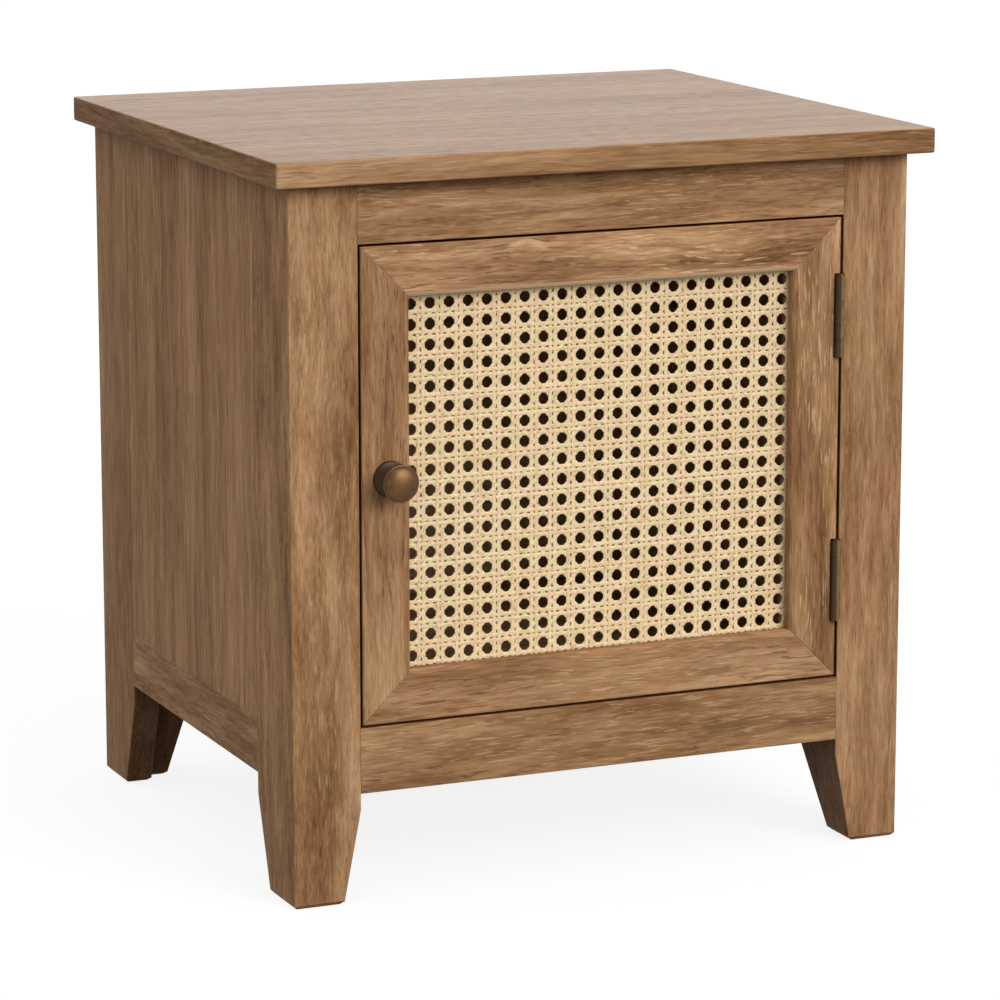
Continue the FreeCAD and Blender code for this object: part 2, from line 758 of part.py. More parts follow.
def make_dowels():
    """The dowels of the six rails and the screws of the top."""
    half = "(sizes.dowel_length / 2)"
    dowels = []

    def add_dowel(at, towards):
        name = f"rail_dowel_{len(dowels) + 1}"
        dowels.append(rod(name, at, towards, "sizes.dowel_radius", "sizes.dowel_length"))

    for x_sign in (-1, 1):
        for y_sign, plane in ((1, FACE_Y), (-1, BACK_Y)):
            depth, heights = cross_rail_ends(y_sign)
            for height in heights:
                x = f"({signed(x_sign, OPENING_X)} - {half})"
                add_dowel((x, f"({plane} + {signed(y_sign, depth)})", height), RIGHT)
            for height in side_rail_ends():
                x = signed(x_sign, f"({SIDE_X} - sizes.rail_thickness / 2)")
                joint_y = f"({plane} + {signed(y_sign, 'sizes.post_depth')})"
                add_dowel((x, f"({joint_y} - {half})", height), BACK)
    group("rail_dowels", dowels)

    screws = []
    for number, (x, y) in enumerate(top_screw_places(), 1):
        at = (x, y, f"({BODY_HEIGHT} - sizes.top_cleat_height)")
        screws.append(
            pan_screw(
                f"top_screw_{number}",
                at,
                UP,
                "sizes.top_screw_radius",
                "sizes.top_screw_head_radius",
                "sizes.top_screw_head_height",
                "(sizes.top_cleat_height + sizes.top_screw_bite)",
            )
        )
    group("top_screws", screws)


# The door.

def door_body(label):
    """Body whose own frame is the door's lower left front corner."""
    return new_body(label, DOOR_X, FACE_Y, DOOR_Z)


def make_door_member(label, corners, is_inner_edge, rebate_low, rebate_size):
    """Mitred member of the door frame, rebated behind for the cane and eased in front."""
    body = door_body(label)
    pad(body, "member", "XZ_Plane", corners, "sizes.door_thickness", reverse=True)
    front = [edge for edge in body.Tip.Shape.Edges if near(edge.BoundBox.YMax, 0)]
    longest = max(edge.Length for edge in front)
    ease(
        body,
        "outer_edge",
        "Chamfer",
        "sizes.door_outer_chamfer",
        lambda box: near(box.YMax, 0) and near(max(box.XLength, box.ZLength), longest),
    )
    ease(
        body,
        "inner_edge",
        "Chamfer",
        "sizes.door_inner_chamfer",
        lambda box: near(box.YMax, 0) and is_inner_edge(box),
    )
    cut_box(body, "cane_rebate", rebate_low, rebate_size)
    return body


def make_door_frame():
    """The four members of the door and the dowels across their mitres."""
    width, height, member = DOOR_WIDTH, DOOR_HEIGHT, "sizes.door_member_width"
    inner_right, inner_top = f"({width} - {member})", f"({height} - {member})"
    member_size = value(member)
    right_line, top_line = value(inner_right), value(inner_top)
    lip, rebate = "sizes.door_lip", "sizes.door_rebate_width"
    rebate_depth = "(sizes.door_thickness - sizes.door_lip)"
    left = make_door_member(
        "door_left_stile",
        [("0", "0"), (member, member), (member, inner_top), ("0", height)],
        lambda box: near(box.XLength, 0) and near(box.XMax, member_size),
        (f"({member} - {rebate})", lip, "0"),
        (rebate, rebate_depth, height),
    )
    right = make_door_member(
        "door_right_stile",
        [(width, "0"), (width, height), (inner_right, inner_top), (inner_right, member)],
        lambda box: near(box.XLength, 0) and near(box.XMin, right_line),
        (inner_right, lip, "0"),
        (rebate, rebate_depth, height),
    )
    top = make_door_member(
        "door_top_rail",
        [("0", height), (member, inner_top), (inner_right, inner_top), (width, height)],
        lambda box: near(box.ZLength, 0) and near(box.ZMin, top_line),
        ("0", lip, inner_top),
        (width, rebate_depth, rebate),
    )
    bottom = make_door_member(
        "door_bottom_rail",
        [("0", "0"), (width, "0"), (inner_right, member), (member, member)],
        lambda box: near(box.ZLength, 0) and near(box.ZMax, member_size),
        ("0", lip, f"({member} - {rebate})"),
        (width, rebate_depth, rebate),
    )
    make_mitre_dowels(left, right, top, bottom)
    drill(
        left,
        "knob_screw_hole",
        ("sizes.knob_inset", "0", "sizes.knob_rise"),
        BACK,
        "(sizes.knob_screw_radius + sizes.running_clearance)",
        "sizes.door_thickness",
    )
    plate_x = "(sizes.catch_plate_edge + sizes.catch_plate_width / 2)"
    plate_at = (plate_x, "sizes.door_thickness", f"({CATCH_MIDDLE_Z} - {DOOR_Z})")
    drill_pilot(left, "catch_plate_pilot", plate_at, FORWARD)
    for name, hinge_z in HINGES.items():
        z = f"({hinge_z} - {DOOR_Z})"
        cut_box(
            right,
            f"{name}_leaf_housing",
            (f"({width} - sizes.hinge_leaf_let_in)", "0", z),
            ("sizes.hinge_leaf_let_in", "sizes.hinge_leaf_width", "sizes.hinge_length"),
        )
        notch_z = f"({z} - sizes.hinge_notch_clearance)"
        notch_at = (AXIS_IN_DOOR, "(-sizes.hinge_pin_forward)", notch_z)
        drill(right, f"{name}_barrel_notch", notch_at, UP, NOTCH_RADIUS, NOTCH_LENGTH)
        for number, share in enumerate(shares(HINGE_SCREWS, "sizes.hinge_length"), 1):
            at = (width, "(sizes.hinge_leaf_width / 2)", f"({z} + {share})")
            drill_pilot(right, f"{name}_pilot_{number}", at, LEFT)


def make_mitre_dowels(left, right, top, bottom):
    """A dowel square across the middle of each mitre, with its hole in both members."""
    near_side = "sizes.mitre_dowel_inset"
    far_x, far_z = f"({DOOR_WIDTH} - {near_side})", f"({DOOR_HEIGHT} - {near_side})"
    depth = "(sizes.door_thickness / 2)"
    slope = math.sqrt(0.5)
    dowels = []
    for name, x, z, rise, stile, rail in (
        ("lower_left", near_side, near_side, -1, left, bottom),
        ("upper_left", near_side, far_z, 1, left, top),
        ("lower_right", far_x, near_side, 1, right, bottom),
        ("upper_right", far_x, far_z, -1, right, top),
    ):
        towards = FreeCAD.Vector(slope, 0, rise * slope)
        length = "sizes.mitre_dowel_length"
        hole_start = along((x, depth, z), towards, f"(-({length} / 2 + sizes.dowel_end_room))")
        for member in (stile, rail):
            drill(
                member,
                f"{name}_dowel_hole",
                hole_start,
                towards,
                "sizes.mitre_dowel_radius",
                f"({length} + 2 * sizes.dowel_end_room)",
            )
        middle = (f"({DOOR_X} + {x})", f"({FACE_Y} + {depth})", f"({DOOR_Z} + {z})")
        start = along(middle, towards, f"(-{length} / 2)")
        dowels.append(rod(f"{name}_mitre_dowel", start, towards, "sizes.mitre_dowel_radius", length))
    group("mitre_dowels", dowels)


def grid_places(count, pitch, start, end):
    """Evenly spaced places, centred between start and end."""
    first = (start + end - pitch * (count - 1)) / 2
    return [first + pitch * index for index in range(count)]


def make_cane():
    """Cane sheet in the rebate, pierced by the round holes of its weave, and its four beads."""
    edge = value(CANE_EDGE)
    width, height = value(DOOR_WIDTH), value(DOOR_HEIGHT)
    member, lip = value("sizes.door_member_width"), value("sizes.door_lip")
    hole, thickness = value("sizes.cane_hole_width"), value("sizes.cane_thickness")
    column_pitch, row_pitch = value("sizes.cane_column_pitch"), value("sizes.cane_row_pitch")
    columns = int((width - 2 * member - hole) // column_pitch) + 1
    rows = int((height - 2 * member - hole) // row_pitch) + 1
    outer = [(edge, edge), (width - edge, edge), (width - edge, height - edge), (edge, height - edge)]
    wires = [Part.makePolygon([FreeCAD.Vector(x, lip, z) for x, z in (*outer, outer[0])])]
    for x in grid_places(columns, column_pitch, member, width - member):
        for z in grid_places(rows, row_pitch, member, height - member):
            wires.append(Part.Wire([Part.makeCircle(hole / 2, FreeCAD.Vector(x, lip, z), BACK)]))
    cane = doc.addObject("Part::Feature", "cane_panel")
    cane.Label = "cane_panel"
    cane.Shape = Part.Face(wires).extrude(BACK * thickness)
    place(cane, DOOR_X, FACE_Y, DOOR_Z)
    nodes.append(cane)

    start = "(sizes.door_member_width - sizes.door_rebate_width + sizes.bead_clearance)"
    bead = "(sizes.door_rebate_width - sizes.bead_clearance)"
    y = f"({FACE_Y} + sizes.door_lip + sizes.cane_thickness)"
    depth = "(sizes.door_thickness - sizes.door_lip - sizes.cane_thickness)"
    long_height = f"({DOOR_HEIGHT} - 2 * {start})"
    long_width = f"({DOOR_WIDTH} - 2 * sizes.door_member_width)"
    beads = []
    for name, x, z, bead_width, bead_height in (
        ("left_bead", start, start, bead, long_height),
        ("right_bead", f"({DOOR_WIDTH} - sizes.door_member_width)", start, bead, long_height),
        ("bottom_bead", "sizes.door_member_width", start, long_width, bead),
        (
            "top_bead",
            "sizes.door_member_width",
            f"({DOOR_HEIGHT} - sizes.door_member_width)",
            long_width,
            bead,
        ),
    ):
        item = doc.addObject("Part::Box", name)
        bind(item, Length=bead_width, Width=depth, Height=bead_height)
        place(item, f"({DOOR_X} + {x})", y, f"({DOOR_Z} + {z})")
        beads.append(item)
    group("cane_beads", beads)


def make_knob():
    """Turned knob with a flared base, hollow neck and domed head, and the screw that holds it."""
    x, z = f"({DOOR_X} + sizes.knob_inset)", f"({DOOR_Z} + sizes.knob_rise)"
    turn = FreeCAD.Rotation(RIGHT, 90)
    body = new_body("door_knob", x, FACE_Y, z, turn)
    base, head = "sizes.knob_base_radius", "sizes.knob_head_radius"
    rim = "(sizes.knob_head_distance + sizes.knob_rim_thickness)"
    lip = "(sizes.knob_head_distance + sizes.knob_head_lip)"
    profile = [
        ("0", "0"),
        (base, "0"),
        (base, "sizes.knob_base_thickness"),
        ("sizes.knob_neck_radius", "sizes.knob_neck_distance"),
        (f"({head} - sizes.knob_head_lip)", "sizes.knob_head_distance"),
        (head, lip),
        (head, rim),
        ("0", KNOB_REACH),
    ]
    dome = f"(({head}^2 + sizes.knob_dome_height^2) / (2 * sizes.knob_dome_height))"
    arcs = {
        2: ("sizes.knob_base_hollow", "right"),
        3: ("sizes.knob_neck_hollow", "right"),
        6: (dome, "left"),
    }
    sketch = add_outline(body, "XZ_Plane", "profile", profile, arcs)
    feature = body.newObject("PartDesign::Revolution", "turning")
    feature.Profile = sketch
    feature.ReferenceAxis = (sketch, ["V_Axis"])
    feature.Angle = 360
    body.Tip = feature
    doc.recompute()
    hole_radius = "(sizes.knob_screw_radius + sizes.running_clearance)"
    hole_depth = "(sizes.knob_screw_grip + sizes.hole_end_room)"
    drill(body, "screw_hole", ("0", "0", "0"), UP, hole_radius, hole_depth)

    screw = pan_screw(
        "knob_screw",
        (x, f"({FACE_Y} + sizes.door_thickness)", z),
        FORWARD,
        "sizes.knob_screw_radius",
        "sizes.knob_screw_head_radius",
        "sizes.knob_screw_head_height",
        "(sizes.door_thickness + sizes.knob_screw_grip)",
    )
    nodes.append(screw)


# The hinges.

def make_leaf(name, z, own_knuckles, leaf_low_x, face_x, towards):
    """Hinge half: a leaf and its knuckles round the pin, drilled and countersunk for its screws."""
    body = new_body(name, AXIS_X, AXIS_Y, z)
    radius, length = "sizes.hinge_barrel_radius", "sizes.hinge_length"
    add_rod(body, "barrel", ("0", "0", "0"), UP, radius, length)
    leaf_depth = "(sizes.hinge_leaf_width + sizes.hinge_pin_forward)"
    add_box(body, "leaf", (leaf_low_x, "0", "0"), ("sizes.hinge_leaf_thickness", leaf_depth, length))
    room = NOTCH_RADIUS
    for knuckle in range(KNUCKLES):
        if knuckle in own_knuckles:
            continue
        low = f"({length} * {knuckle} / {KNUCKLES} - sizes.knuckle_gap / 2)"
        size = (f"(2 * {room})", f"(2 * {room})", f"({length} / {KNUCKLES} + sizes.knuckle_gap)")
        cut_box(body, f"room_{knuckle + 1}", (f"(-{room})", f"(-{room})", low), size)
    bore = "(sizes.hinge_pin_radius + sizes.running_clearance)"
    drill(body, "bore", ("0", "0", "0"), UP, bore, length)
    for number, share in enumerate(shares(HINGE_SCREWS, length), 1):
        at = (face_x, f"(sizes.hinge_leaf_width / 2 + sizes.hinge_pin_forward)", share)
        countersink(
            body,
            f"screw_hole_{number}",
            at,
            towards,
            HEAD_HOLE_RADIUS,
            PILOT_RADIUS,
            "sizes.hinge_leaf_thickness",
        )


def make_hinges():
    """Two five-knuckle butt hinges: leaves let into the post and the door, pins and screws."""
    proud = "(sizes.hinge_leaf_thickness - sizes.hinge_leaf_let_in)"
    frame_low = f"(sizes.hinge_pin_inset - {proud})"
    door_low = "(sizes.hinge_pin_inset - sizes.door_gap - sizes.hinge_leaf_let_in)"
    door_face = f"({door_low} + sizes.hinge_leaf_thickness)"
    screw_y = f"({FACE_Y} + sizes.hinge_leaf_width / 2)"
    frame_screws, door_screws = [], []
    for name, z in HINGES.items():
        make_leaf(f"{name}_hinge_frame_leaf", z, (0, 2, 4), frame_low, frame_low, RIGHT)
        make_leaf(f"{name}_hinge_door_leaf", z, (1, 3), door_low, door_face, LEFT)
        pin = new_body(f"{name}_hinge_pin", AXIS_X, AXIS_Y, z)
        add_rod(pin, "shank", ("0", "0", "0"), UP, "sizes.hinge_pin_radius", "sizes.hinge_length")
        add_rod(
            pin,
            "head",
            ("0", "0", "sizes.hinge_length"),
            UP,
            "sizes.hinge_pin_head_radius",
            "sizes.hinge_pin_head_height",
        )
        for number, share in enumerate(shares(HINGE_SCREWS, "sizes.hinge_length"), 1):
            height = f"({z} + {share})"
            for kind, low_x, towards, screws in (
                ("frame", frame_low, RIGHT, frame_screws),
                ("door", door_face, LEFT, door_screws),
            ):
                screws.append(
                    countersunk_screw(
                        f"{name}_{kind}_hinge_screw_{number}",
                        (f"({AXIS_X} + {low_x})", screw_y, height),
                        towards,
                        "sizes.small_screw_radius",
                        "sizes.small_screw_head_radius",
                        "sizes.hinge_leaf_thickness",
                        "sizes.small_screw_length",
                    )
                )
    group("frame_hinge_screws", frame_screws)
    group("door_hinge_screws", door_screws)


# The catch.

def catch_screw_heights():
    """Heights of the two screws, in the ends of the flange that the case leaves free."""
    free = "((sizes.catch_flange_length - sizes.catch_case_length) / 4)"
    return [f"({CATCH_Z} + {free})", f"({CATCH_Z} + sizes.catch_flange_length - {free})"]


def make_catch():
    """Magnetic catch on the left post, and the plate on the door that it holds."""
    catch = new_body("magnetic_catch", f"(-{OPENING_X})", CATCH_Y, CATCH_Z)
    flange = ("sizes.catch_flange_thickness", "sizes.catch_flange_depth", "sizes.catch_flange_length")
    add_box(catch, "flange", ("0", "0", "0"), flange)
    case_z = "((sizes.catch_flange_length - sizes.catch_case_length) / 2)"
    case = ("sizes.catch_case_width", "sizes.catch_case_depth", "sizes.catch_case_length")
    add_box(catch, "case", ("0", "0", case_z), case)
    case_width, case_depth = value("sizes.catch_case_width"), value("sizes.catch_case_depth")
    ease(
        catch,
        "case_edges",
        "Fillet",
        "sizes.catch_case_radius",
        lambda box: near(box.XMin, case_width) and near(box.YLength, case_depth),
    )
    screws = []
    for number, height in enumerate(catch_screw_heights(), 1):
        y = "(sizes.catch_flange_depth / 2)"
        at = ("sizes.catch_flange_thickness", y, f"({height} - {CATCH_Z})")
        drill(catch, f"screw_hole_{number}", at, LEFT, PILOT_RADIUS, "sizes.catch_flange_thickness")
        screws.append(
            pan_screw(
                f"catch_screw_{number}",
                (f"(sizes.catch_flange_thickness - {OPENING_X})", f"({CATCH_Y} + {y})", height),
                LEFT,
                "sizes.small_screw_radius",
                "sizes.small_screw_head_radius",
                "sizes.small_screw_head_height",
                "sizes.small_screw_length",
            )
        )
    group("catch_screws", screws)

    plate_y = f"({FACE_Y} + sizes.door_thickness)"
    plate_x = f"({DOOR_X} + sizes.catch_plate_edge)"
    plate_z = f"({CATCH_MIDDLE_Z} - sizes.catch_case_length / 2)"
    plate = new_body("catch_plate", plate_x, plate_y, plate_z)
    size = ("sizes.catch_plate_width", "sizes.catch_plate_thickness", "sizes.catch_case_length")
    add_box(plate, "plate", ("0", "0", "0"), size)
    middle = (
        "(sizes.catch_plate_width / 2)",
        "sizes.catch_plate_thickness",
        "(sizes.catch_case_length / 2)",
    )
    countersink(
        plate,
        "screw_hole",
        middle,
        FORWARD,
        HEAD_HOLE_RADIUS,
        PILOT_RADIUS,
        "sizes.catch_plate_thickness",
    )
    screw = countersunk_screw(
        "catch_plate_screw",
        (f"({plate_x} + {middle[0]})", f"({plate_y} + {middle[1]})", CATCH_MIDDLE_Z),
        FORWARD,
        "sizes.small_screw_radius",
        "sizes.small_screw_head_radius",
        "sizes.catch_plate_thickness",
        "sizes.small_screw_length",
    )
    nodes.append(screw)


def check_and_write():
    """Stops at a failed object, then writes each piece's shape."""
    doc.recompute()
    for item in doc.Objects:
        if "Invalid" in item.State or "Error" in item.State:
            raise RuntimeError(f"{item.Label} failed: {item.State}")
    for item in nodes:
        if item.Shape.isNull() or not item.Shape.isValid() or not item.Shape.Solids:
            raise RuntimeError(f"{item.Label} has no valid shape")
    os.makedirs("parts", exist_ok=True)
    for item in nodes:
        item.Shape.exportStep(f"parts/{item.Label}.step")
    print(f"{len(nodes)} pieces written")


make_top()
make_posts()
make_rails()
make_sides()
make_floor()
make_back_panel()
make_dowels()
make_door_frame()
make_cane()
make_knob()
make_hinges()
make_catch()
check_and_write()
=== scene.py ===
import logging
import math
from dataclasses import dataclass, field, replace
from enum import Enum
from functools import cached_property
from typing import Any

import bmesh
import bpy
import numpy as np
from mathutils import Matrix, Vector


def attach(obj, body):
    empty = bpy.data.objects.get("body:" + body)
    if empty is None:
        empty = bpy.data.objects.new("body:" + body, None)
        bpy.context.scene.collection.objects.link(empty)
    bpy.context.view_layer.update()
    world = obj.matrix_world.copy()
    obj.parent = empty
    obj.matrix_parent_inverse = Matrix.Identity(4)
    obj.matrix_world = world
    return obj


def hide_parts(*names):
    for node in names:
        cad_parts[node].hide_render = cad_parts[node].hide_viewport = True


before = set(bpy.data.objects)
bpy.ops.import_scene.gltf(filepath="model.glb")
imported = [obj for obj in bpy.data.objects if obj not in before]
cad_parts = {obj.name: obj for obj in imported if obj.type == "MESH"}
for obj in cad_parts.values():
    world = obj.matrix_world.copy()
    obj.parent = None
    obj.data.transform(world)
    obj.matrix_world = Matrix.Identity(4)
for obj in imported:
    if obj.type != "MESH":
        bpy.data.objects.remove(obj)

log = logging.getLogger("side_table")

Pair = tuple[float, float]
Colour = tuple[float, float, float]
Point = tuple[float, float, float]
Arrays = list[np.ndarray]
Piece = bpy.types.Object
Mesh = bpy.types.Mesh
Material = bpy.types.Material

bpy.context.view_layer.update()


class Grain(Enum):
    """The way the grain of a board runs, as an axis of the frame."""

    ACROSS = 0
    DEEP = 1
    UPRIGHT = 2


class Body(Enum):
    """The two bodies of the table."""

    CARCASS = "carcass"
    DOOR = "door"


def shade(*screen: int) -> Colour:
    """Turn a colour in screen values from 0 to 255 into the linear one that shaders read.

    Each value v becomes ((v / 255 + 0.055) / 1.055) to the power 2.4.

    Args:
        *screen: Red, green and blue.

    Returns:
        The linear colour.
    """
    values = np.array(screen) / 255
    linear = np.where(values < 0.04045, values / 12.92, ((values + 0.055) / 1.055) ** 2.4)
    return tuple(float(v) for v in linear)


# Node graphs.

WHITE: Colour = (1.0, 1.0, 1.0)
UPWARD = (0.4, 0.9)  # from where to where a face counts as turned up


class Graph:
    """A node graph, with short calls for the nodes that the finishes share."""

    def __init__(self, name: str, kind: str = "materials") -> None:
        """Start an empty graph.

        Args:
            name: Name of the material or world that holds it.
            kind: Blender's name for the list that the holder joins.
        """
        self.holder = getattr(bpy.data, kind).new(name)
        self.holder.use_nodes = True
        self.tree = self.holder.node_tree
        self.tree.nodes.clear()

    @cached_property
    def place(self) -> Any:
        """Coordinates of the piece."""
        return self.add("TexCoord", out="Object")

    @cached_property
    def normal(self) -> Any:
        """The way the piece's surface faces."""
        return self.add("TexCoord", out="Normal")

    def node(self, kind: str, sockets: dict | None = None, **settings: Any) -> bpy.types.Node:
        """Add a node, set its properties, and set or link its input sockets.

        Args:
            kind: Blender's name for the node, without ShaderNode.
            sockets: Input name or number, and the number, colour or socket that it gets.
            **settings: Properties of the node.

        Returns:
            The node.
        """
        node = self.tree.nodes.new(f"ShaderNode{kind}")
        for name, value in settings.items():
            setattr(node, name, value)
        for name, value in (sockets or {}).items():
            if isinstance(value, bpy.types.NodeSocket):
                self.tree.links.new(value, node.inputs[name])
            else:
                node.inputs[name].default_value = value
        return node

    def add(
        self, kind: str, sockets: dict | None = None, out: int | str = 0, **settings: Any
    ) -> Any:
        """Add a node as above, and return one of its outputs."""
        return self.node(kind, sockets, **settings).outputs[out]

    def stretched(self, place: Any, scale: Point, seed: float) -> Any:
        """Scale the coordinates along each axis, and move them by the seed."""
        sockets = {"Vector": place, "Location": (seed, seed * 1.7, seed * 2.3), "Scale": scale}
        return self.add("Mapping", sockets)

    def noise(self, place: Any, detail: float = 2, rough: float = 0.5, bend: float = 0) -> Any:
        """Noise from 0 to 1 at the given coordinates."""
        sockets = {"Vector": place, "Scale": 1.0, "Detail": detail, "Roughness": rough}
        return self.add("TexNoise", sockets | {"Distortion": bend}, "Fac")

    def cloud(self, waves: float, seed: float, detail: float = 2, rough: float = 0.5) -> Any:
        """Noise with the same number of waves per metre all ways."""
        return self.noise(self.stretched(self.place, (waves,) * 3, seed), detail, rough)

    def step(self, value: Any, low: float, high: float, to: Pair = (0.0, 1.0)) -> Any:
        """Carry a value from low..high to the range in to, smoothly and without going past it."""
        sockets = {"Value": value, "From Min": low, "From Max": high}
        sockets |= {"To Min": to[0], "To Max": to[1]}
        return self.add("MapRange", sockets, interpolation_type="SMOOTHSTEP")

    def join(self, first: Any, second: Any, operation: str = "ADD") -> Any:
        """Add two values, or join them by another operation."""
        return self.add("Math", {0: first, 1: second}, operation=operation)

    def times(self, first: Any, second: Any) -> Any:
        """Multiply two values."""
        return self.join(first, second, "MULTIPLY")

    def swing(self, noise: Any, size: float) -> Any:
        """How far a noise is from its middle, times a size."""
        return self.times(self.join(noise, 0.5, "SUBTRACT"), size)

    def weighed(self, first: Any, second: Any, share: float) -> Any:
        """Add two values, the first by its share and the second by the rest."""
        return self.join(self.times(first, share), self.times(second, 1 - share))

    def vector(self, operation: str, *values: Any) -> Any:
        """Join vectors by an operation; a length or a dot product gives a number."""
        out = "Value" if operation in ("LENGTH", "DOT_PRODUCT") else "Vector"
        return self.add("VectorMath", dict(enumerate(values)), out, operation=operation)

    def blend(self, share: Any, first: Any, second: Any, kind: str = "MIX") -> Any:
        """Blend two colours; a colour may be a socket or three linear values."""
        sockets = {0: share, 6: first, 7: second}
        sockets |= {at: (*c, 1.0) for at, c in sockets.items() if isinstance(c, tuple)}
        return self.add("Mix", sockets, 2, data_type="RGBA", blend_type=kind)

    def ramp(self, value: Any, stops: list[tuple[float, Colour]]) -> Any:
        """Turn a value into a colour that passes through the stops.

        Args:
            value: The value.
            stops: Values and the colours that they get, at least two.

        Returns:
            The colour.
        """
        node = self.node("ValToRGB", {0: value})
        elements = node.color_ramp.elements
        while len(elements) < len(stops):
            elements.new(0.5)
        for element, (at, colour) in zip(elements, stops):
            element.position = at
            element.color = (*colour, 1.0)
        return node.outputs[0]

    def edges(self, radius: float) -> Any:
        """Mask that is 1 on a sharp edge and 0 further than the radius from it.

        It goes by the product of the true normal and the normal averaged over the radius.

        Args:
            radius: The radius, in metres.

        Returns:
            The mask.
        """
        soft = self.add("Bevel", {"Radius": radius}, samples=4)
        true = self.add("NewGeometry", out="Normal")
        return self.step(self.vector("DOT_PRODUCT", soft, true), 0.995, 0.8)

    def facing(self, axis: int) -> Any:
        """How far the piece's surface faces along an axis of its own: 1 or -1 is straight."""
        return self.add("SeparateXYZ", {0: self.normal}, axis)

    def along(self, axis: int) -> Any:
        """The coordinate along an axis."""
        return self.add("SeparateXYZ", {0: self.place}, axis)

    def undercut(self) -> Any:
        """Mask that is 1 on chamfers between the front and an underside."""
        fall = self.facing(2)
        return self.times(self.step(fall, -0.3, -0.5), self.step(fall, -0.97, -0.85))

    def inward(self) -> Any:
        """Mask that is 1 on faces turned towards the object's upright axis.

        There the level parts of the coordinates and of the normal have a product below 0.
        """
        level = self.vector("MULTIPLY", self.place, (1.0, 1.0, 0.0))
        return self.step(self.vector("DOT_PRODUCT", level, self.normal), 0.0, -0.1)

    def crevice_shade(self, depth: float, least: float) -> Any:
        """Painted shade: share of the colour that is left where other surfaces lie within the
        depth.
        """
        open_share = self.add("AmbientOcclusion", {"Distance": depth}, "AO", samples=4)
        return self.step(open_share, 0.15, 0.85, (least, 1.0))

    def dimmed(self, colour: Any, share: Any) -> Any:
        """Multiply a colour by a share, or by another colour."""
        return self.blend(1.0, colour, share, "MULTIPLY")

    def relief(self, height: Any, depth: float, strength: float) -> Any:
        """Bump whose full height is the depth in metres."""
        sockets = {"Height": height, "Distance": depth, "Strength": strength}
        return self.add("Bump", sockets)

    def finish(self, **sockets: Any) -> Material:
        """Close the graph with the surface shader.

        Args:
            **sockets: Shader inputs, with _ for the space in their names.

        Returns:
            The material.
        """
        named = {key.replace("_", " "): value for key, value in sockets.items()}
        self.node("OutputMaterial", {"Surface": self.add("BsdfPrincipled", named)})
        return self.holder


# Finishes.


@dataclass(frozen=True)
class Knot:
    """A knot in a board: its middle, its radius, and how dark it is."""

    middle: Point
    radius: float
    depth: float = 1.0


@dataclass(frozen=True)
class Layer:
    """One noise of the wood: its seed, its waves per metre across and along the grain, its form.

    As a mark it goes from nothing to its share of the colour over the span.
    """

    seed: float
    across: float
    along: float
    detail: float = 2
    rough: float = 0.5
    bend: float = 0.0
    span: Pair = (0.40, 0.56)
    share: float = 1.0


FIGURE = Layer(0, 30, 3.0, 5, 0.88)
GRIT = Layer(7, 1000, 110, 1, 0.6)
SMEAR = Layer(3, 130, 13, 4, 0.7, 0.3, (0.53, 0.63), 0.5)
TICK = Layer(5, 520, 40, 2, 0.6, 0.2, (0.57, 0.64), 0.62)
FLECK = Layer(11, 620, 44, 2, 0.6, 0.2, (0.57, 0.64), 0.55)
PATCH = Layer(13, 24, 6)
BAND = Layer(17, 13, 0.9, 3, 0.6)


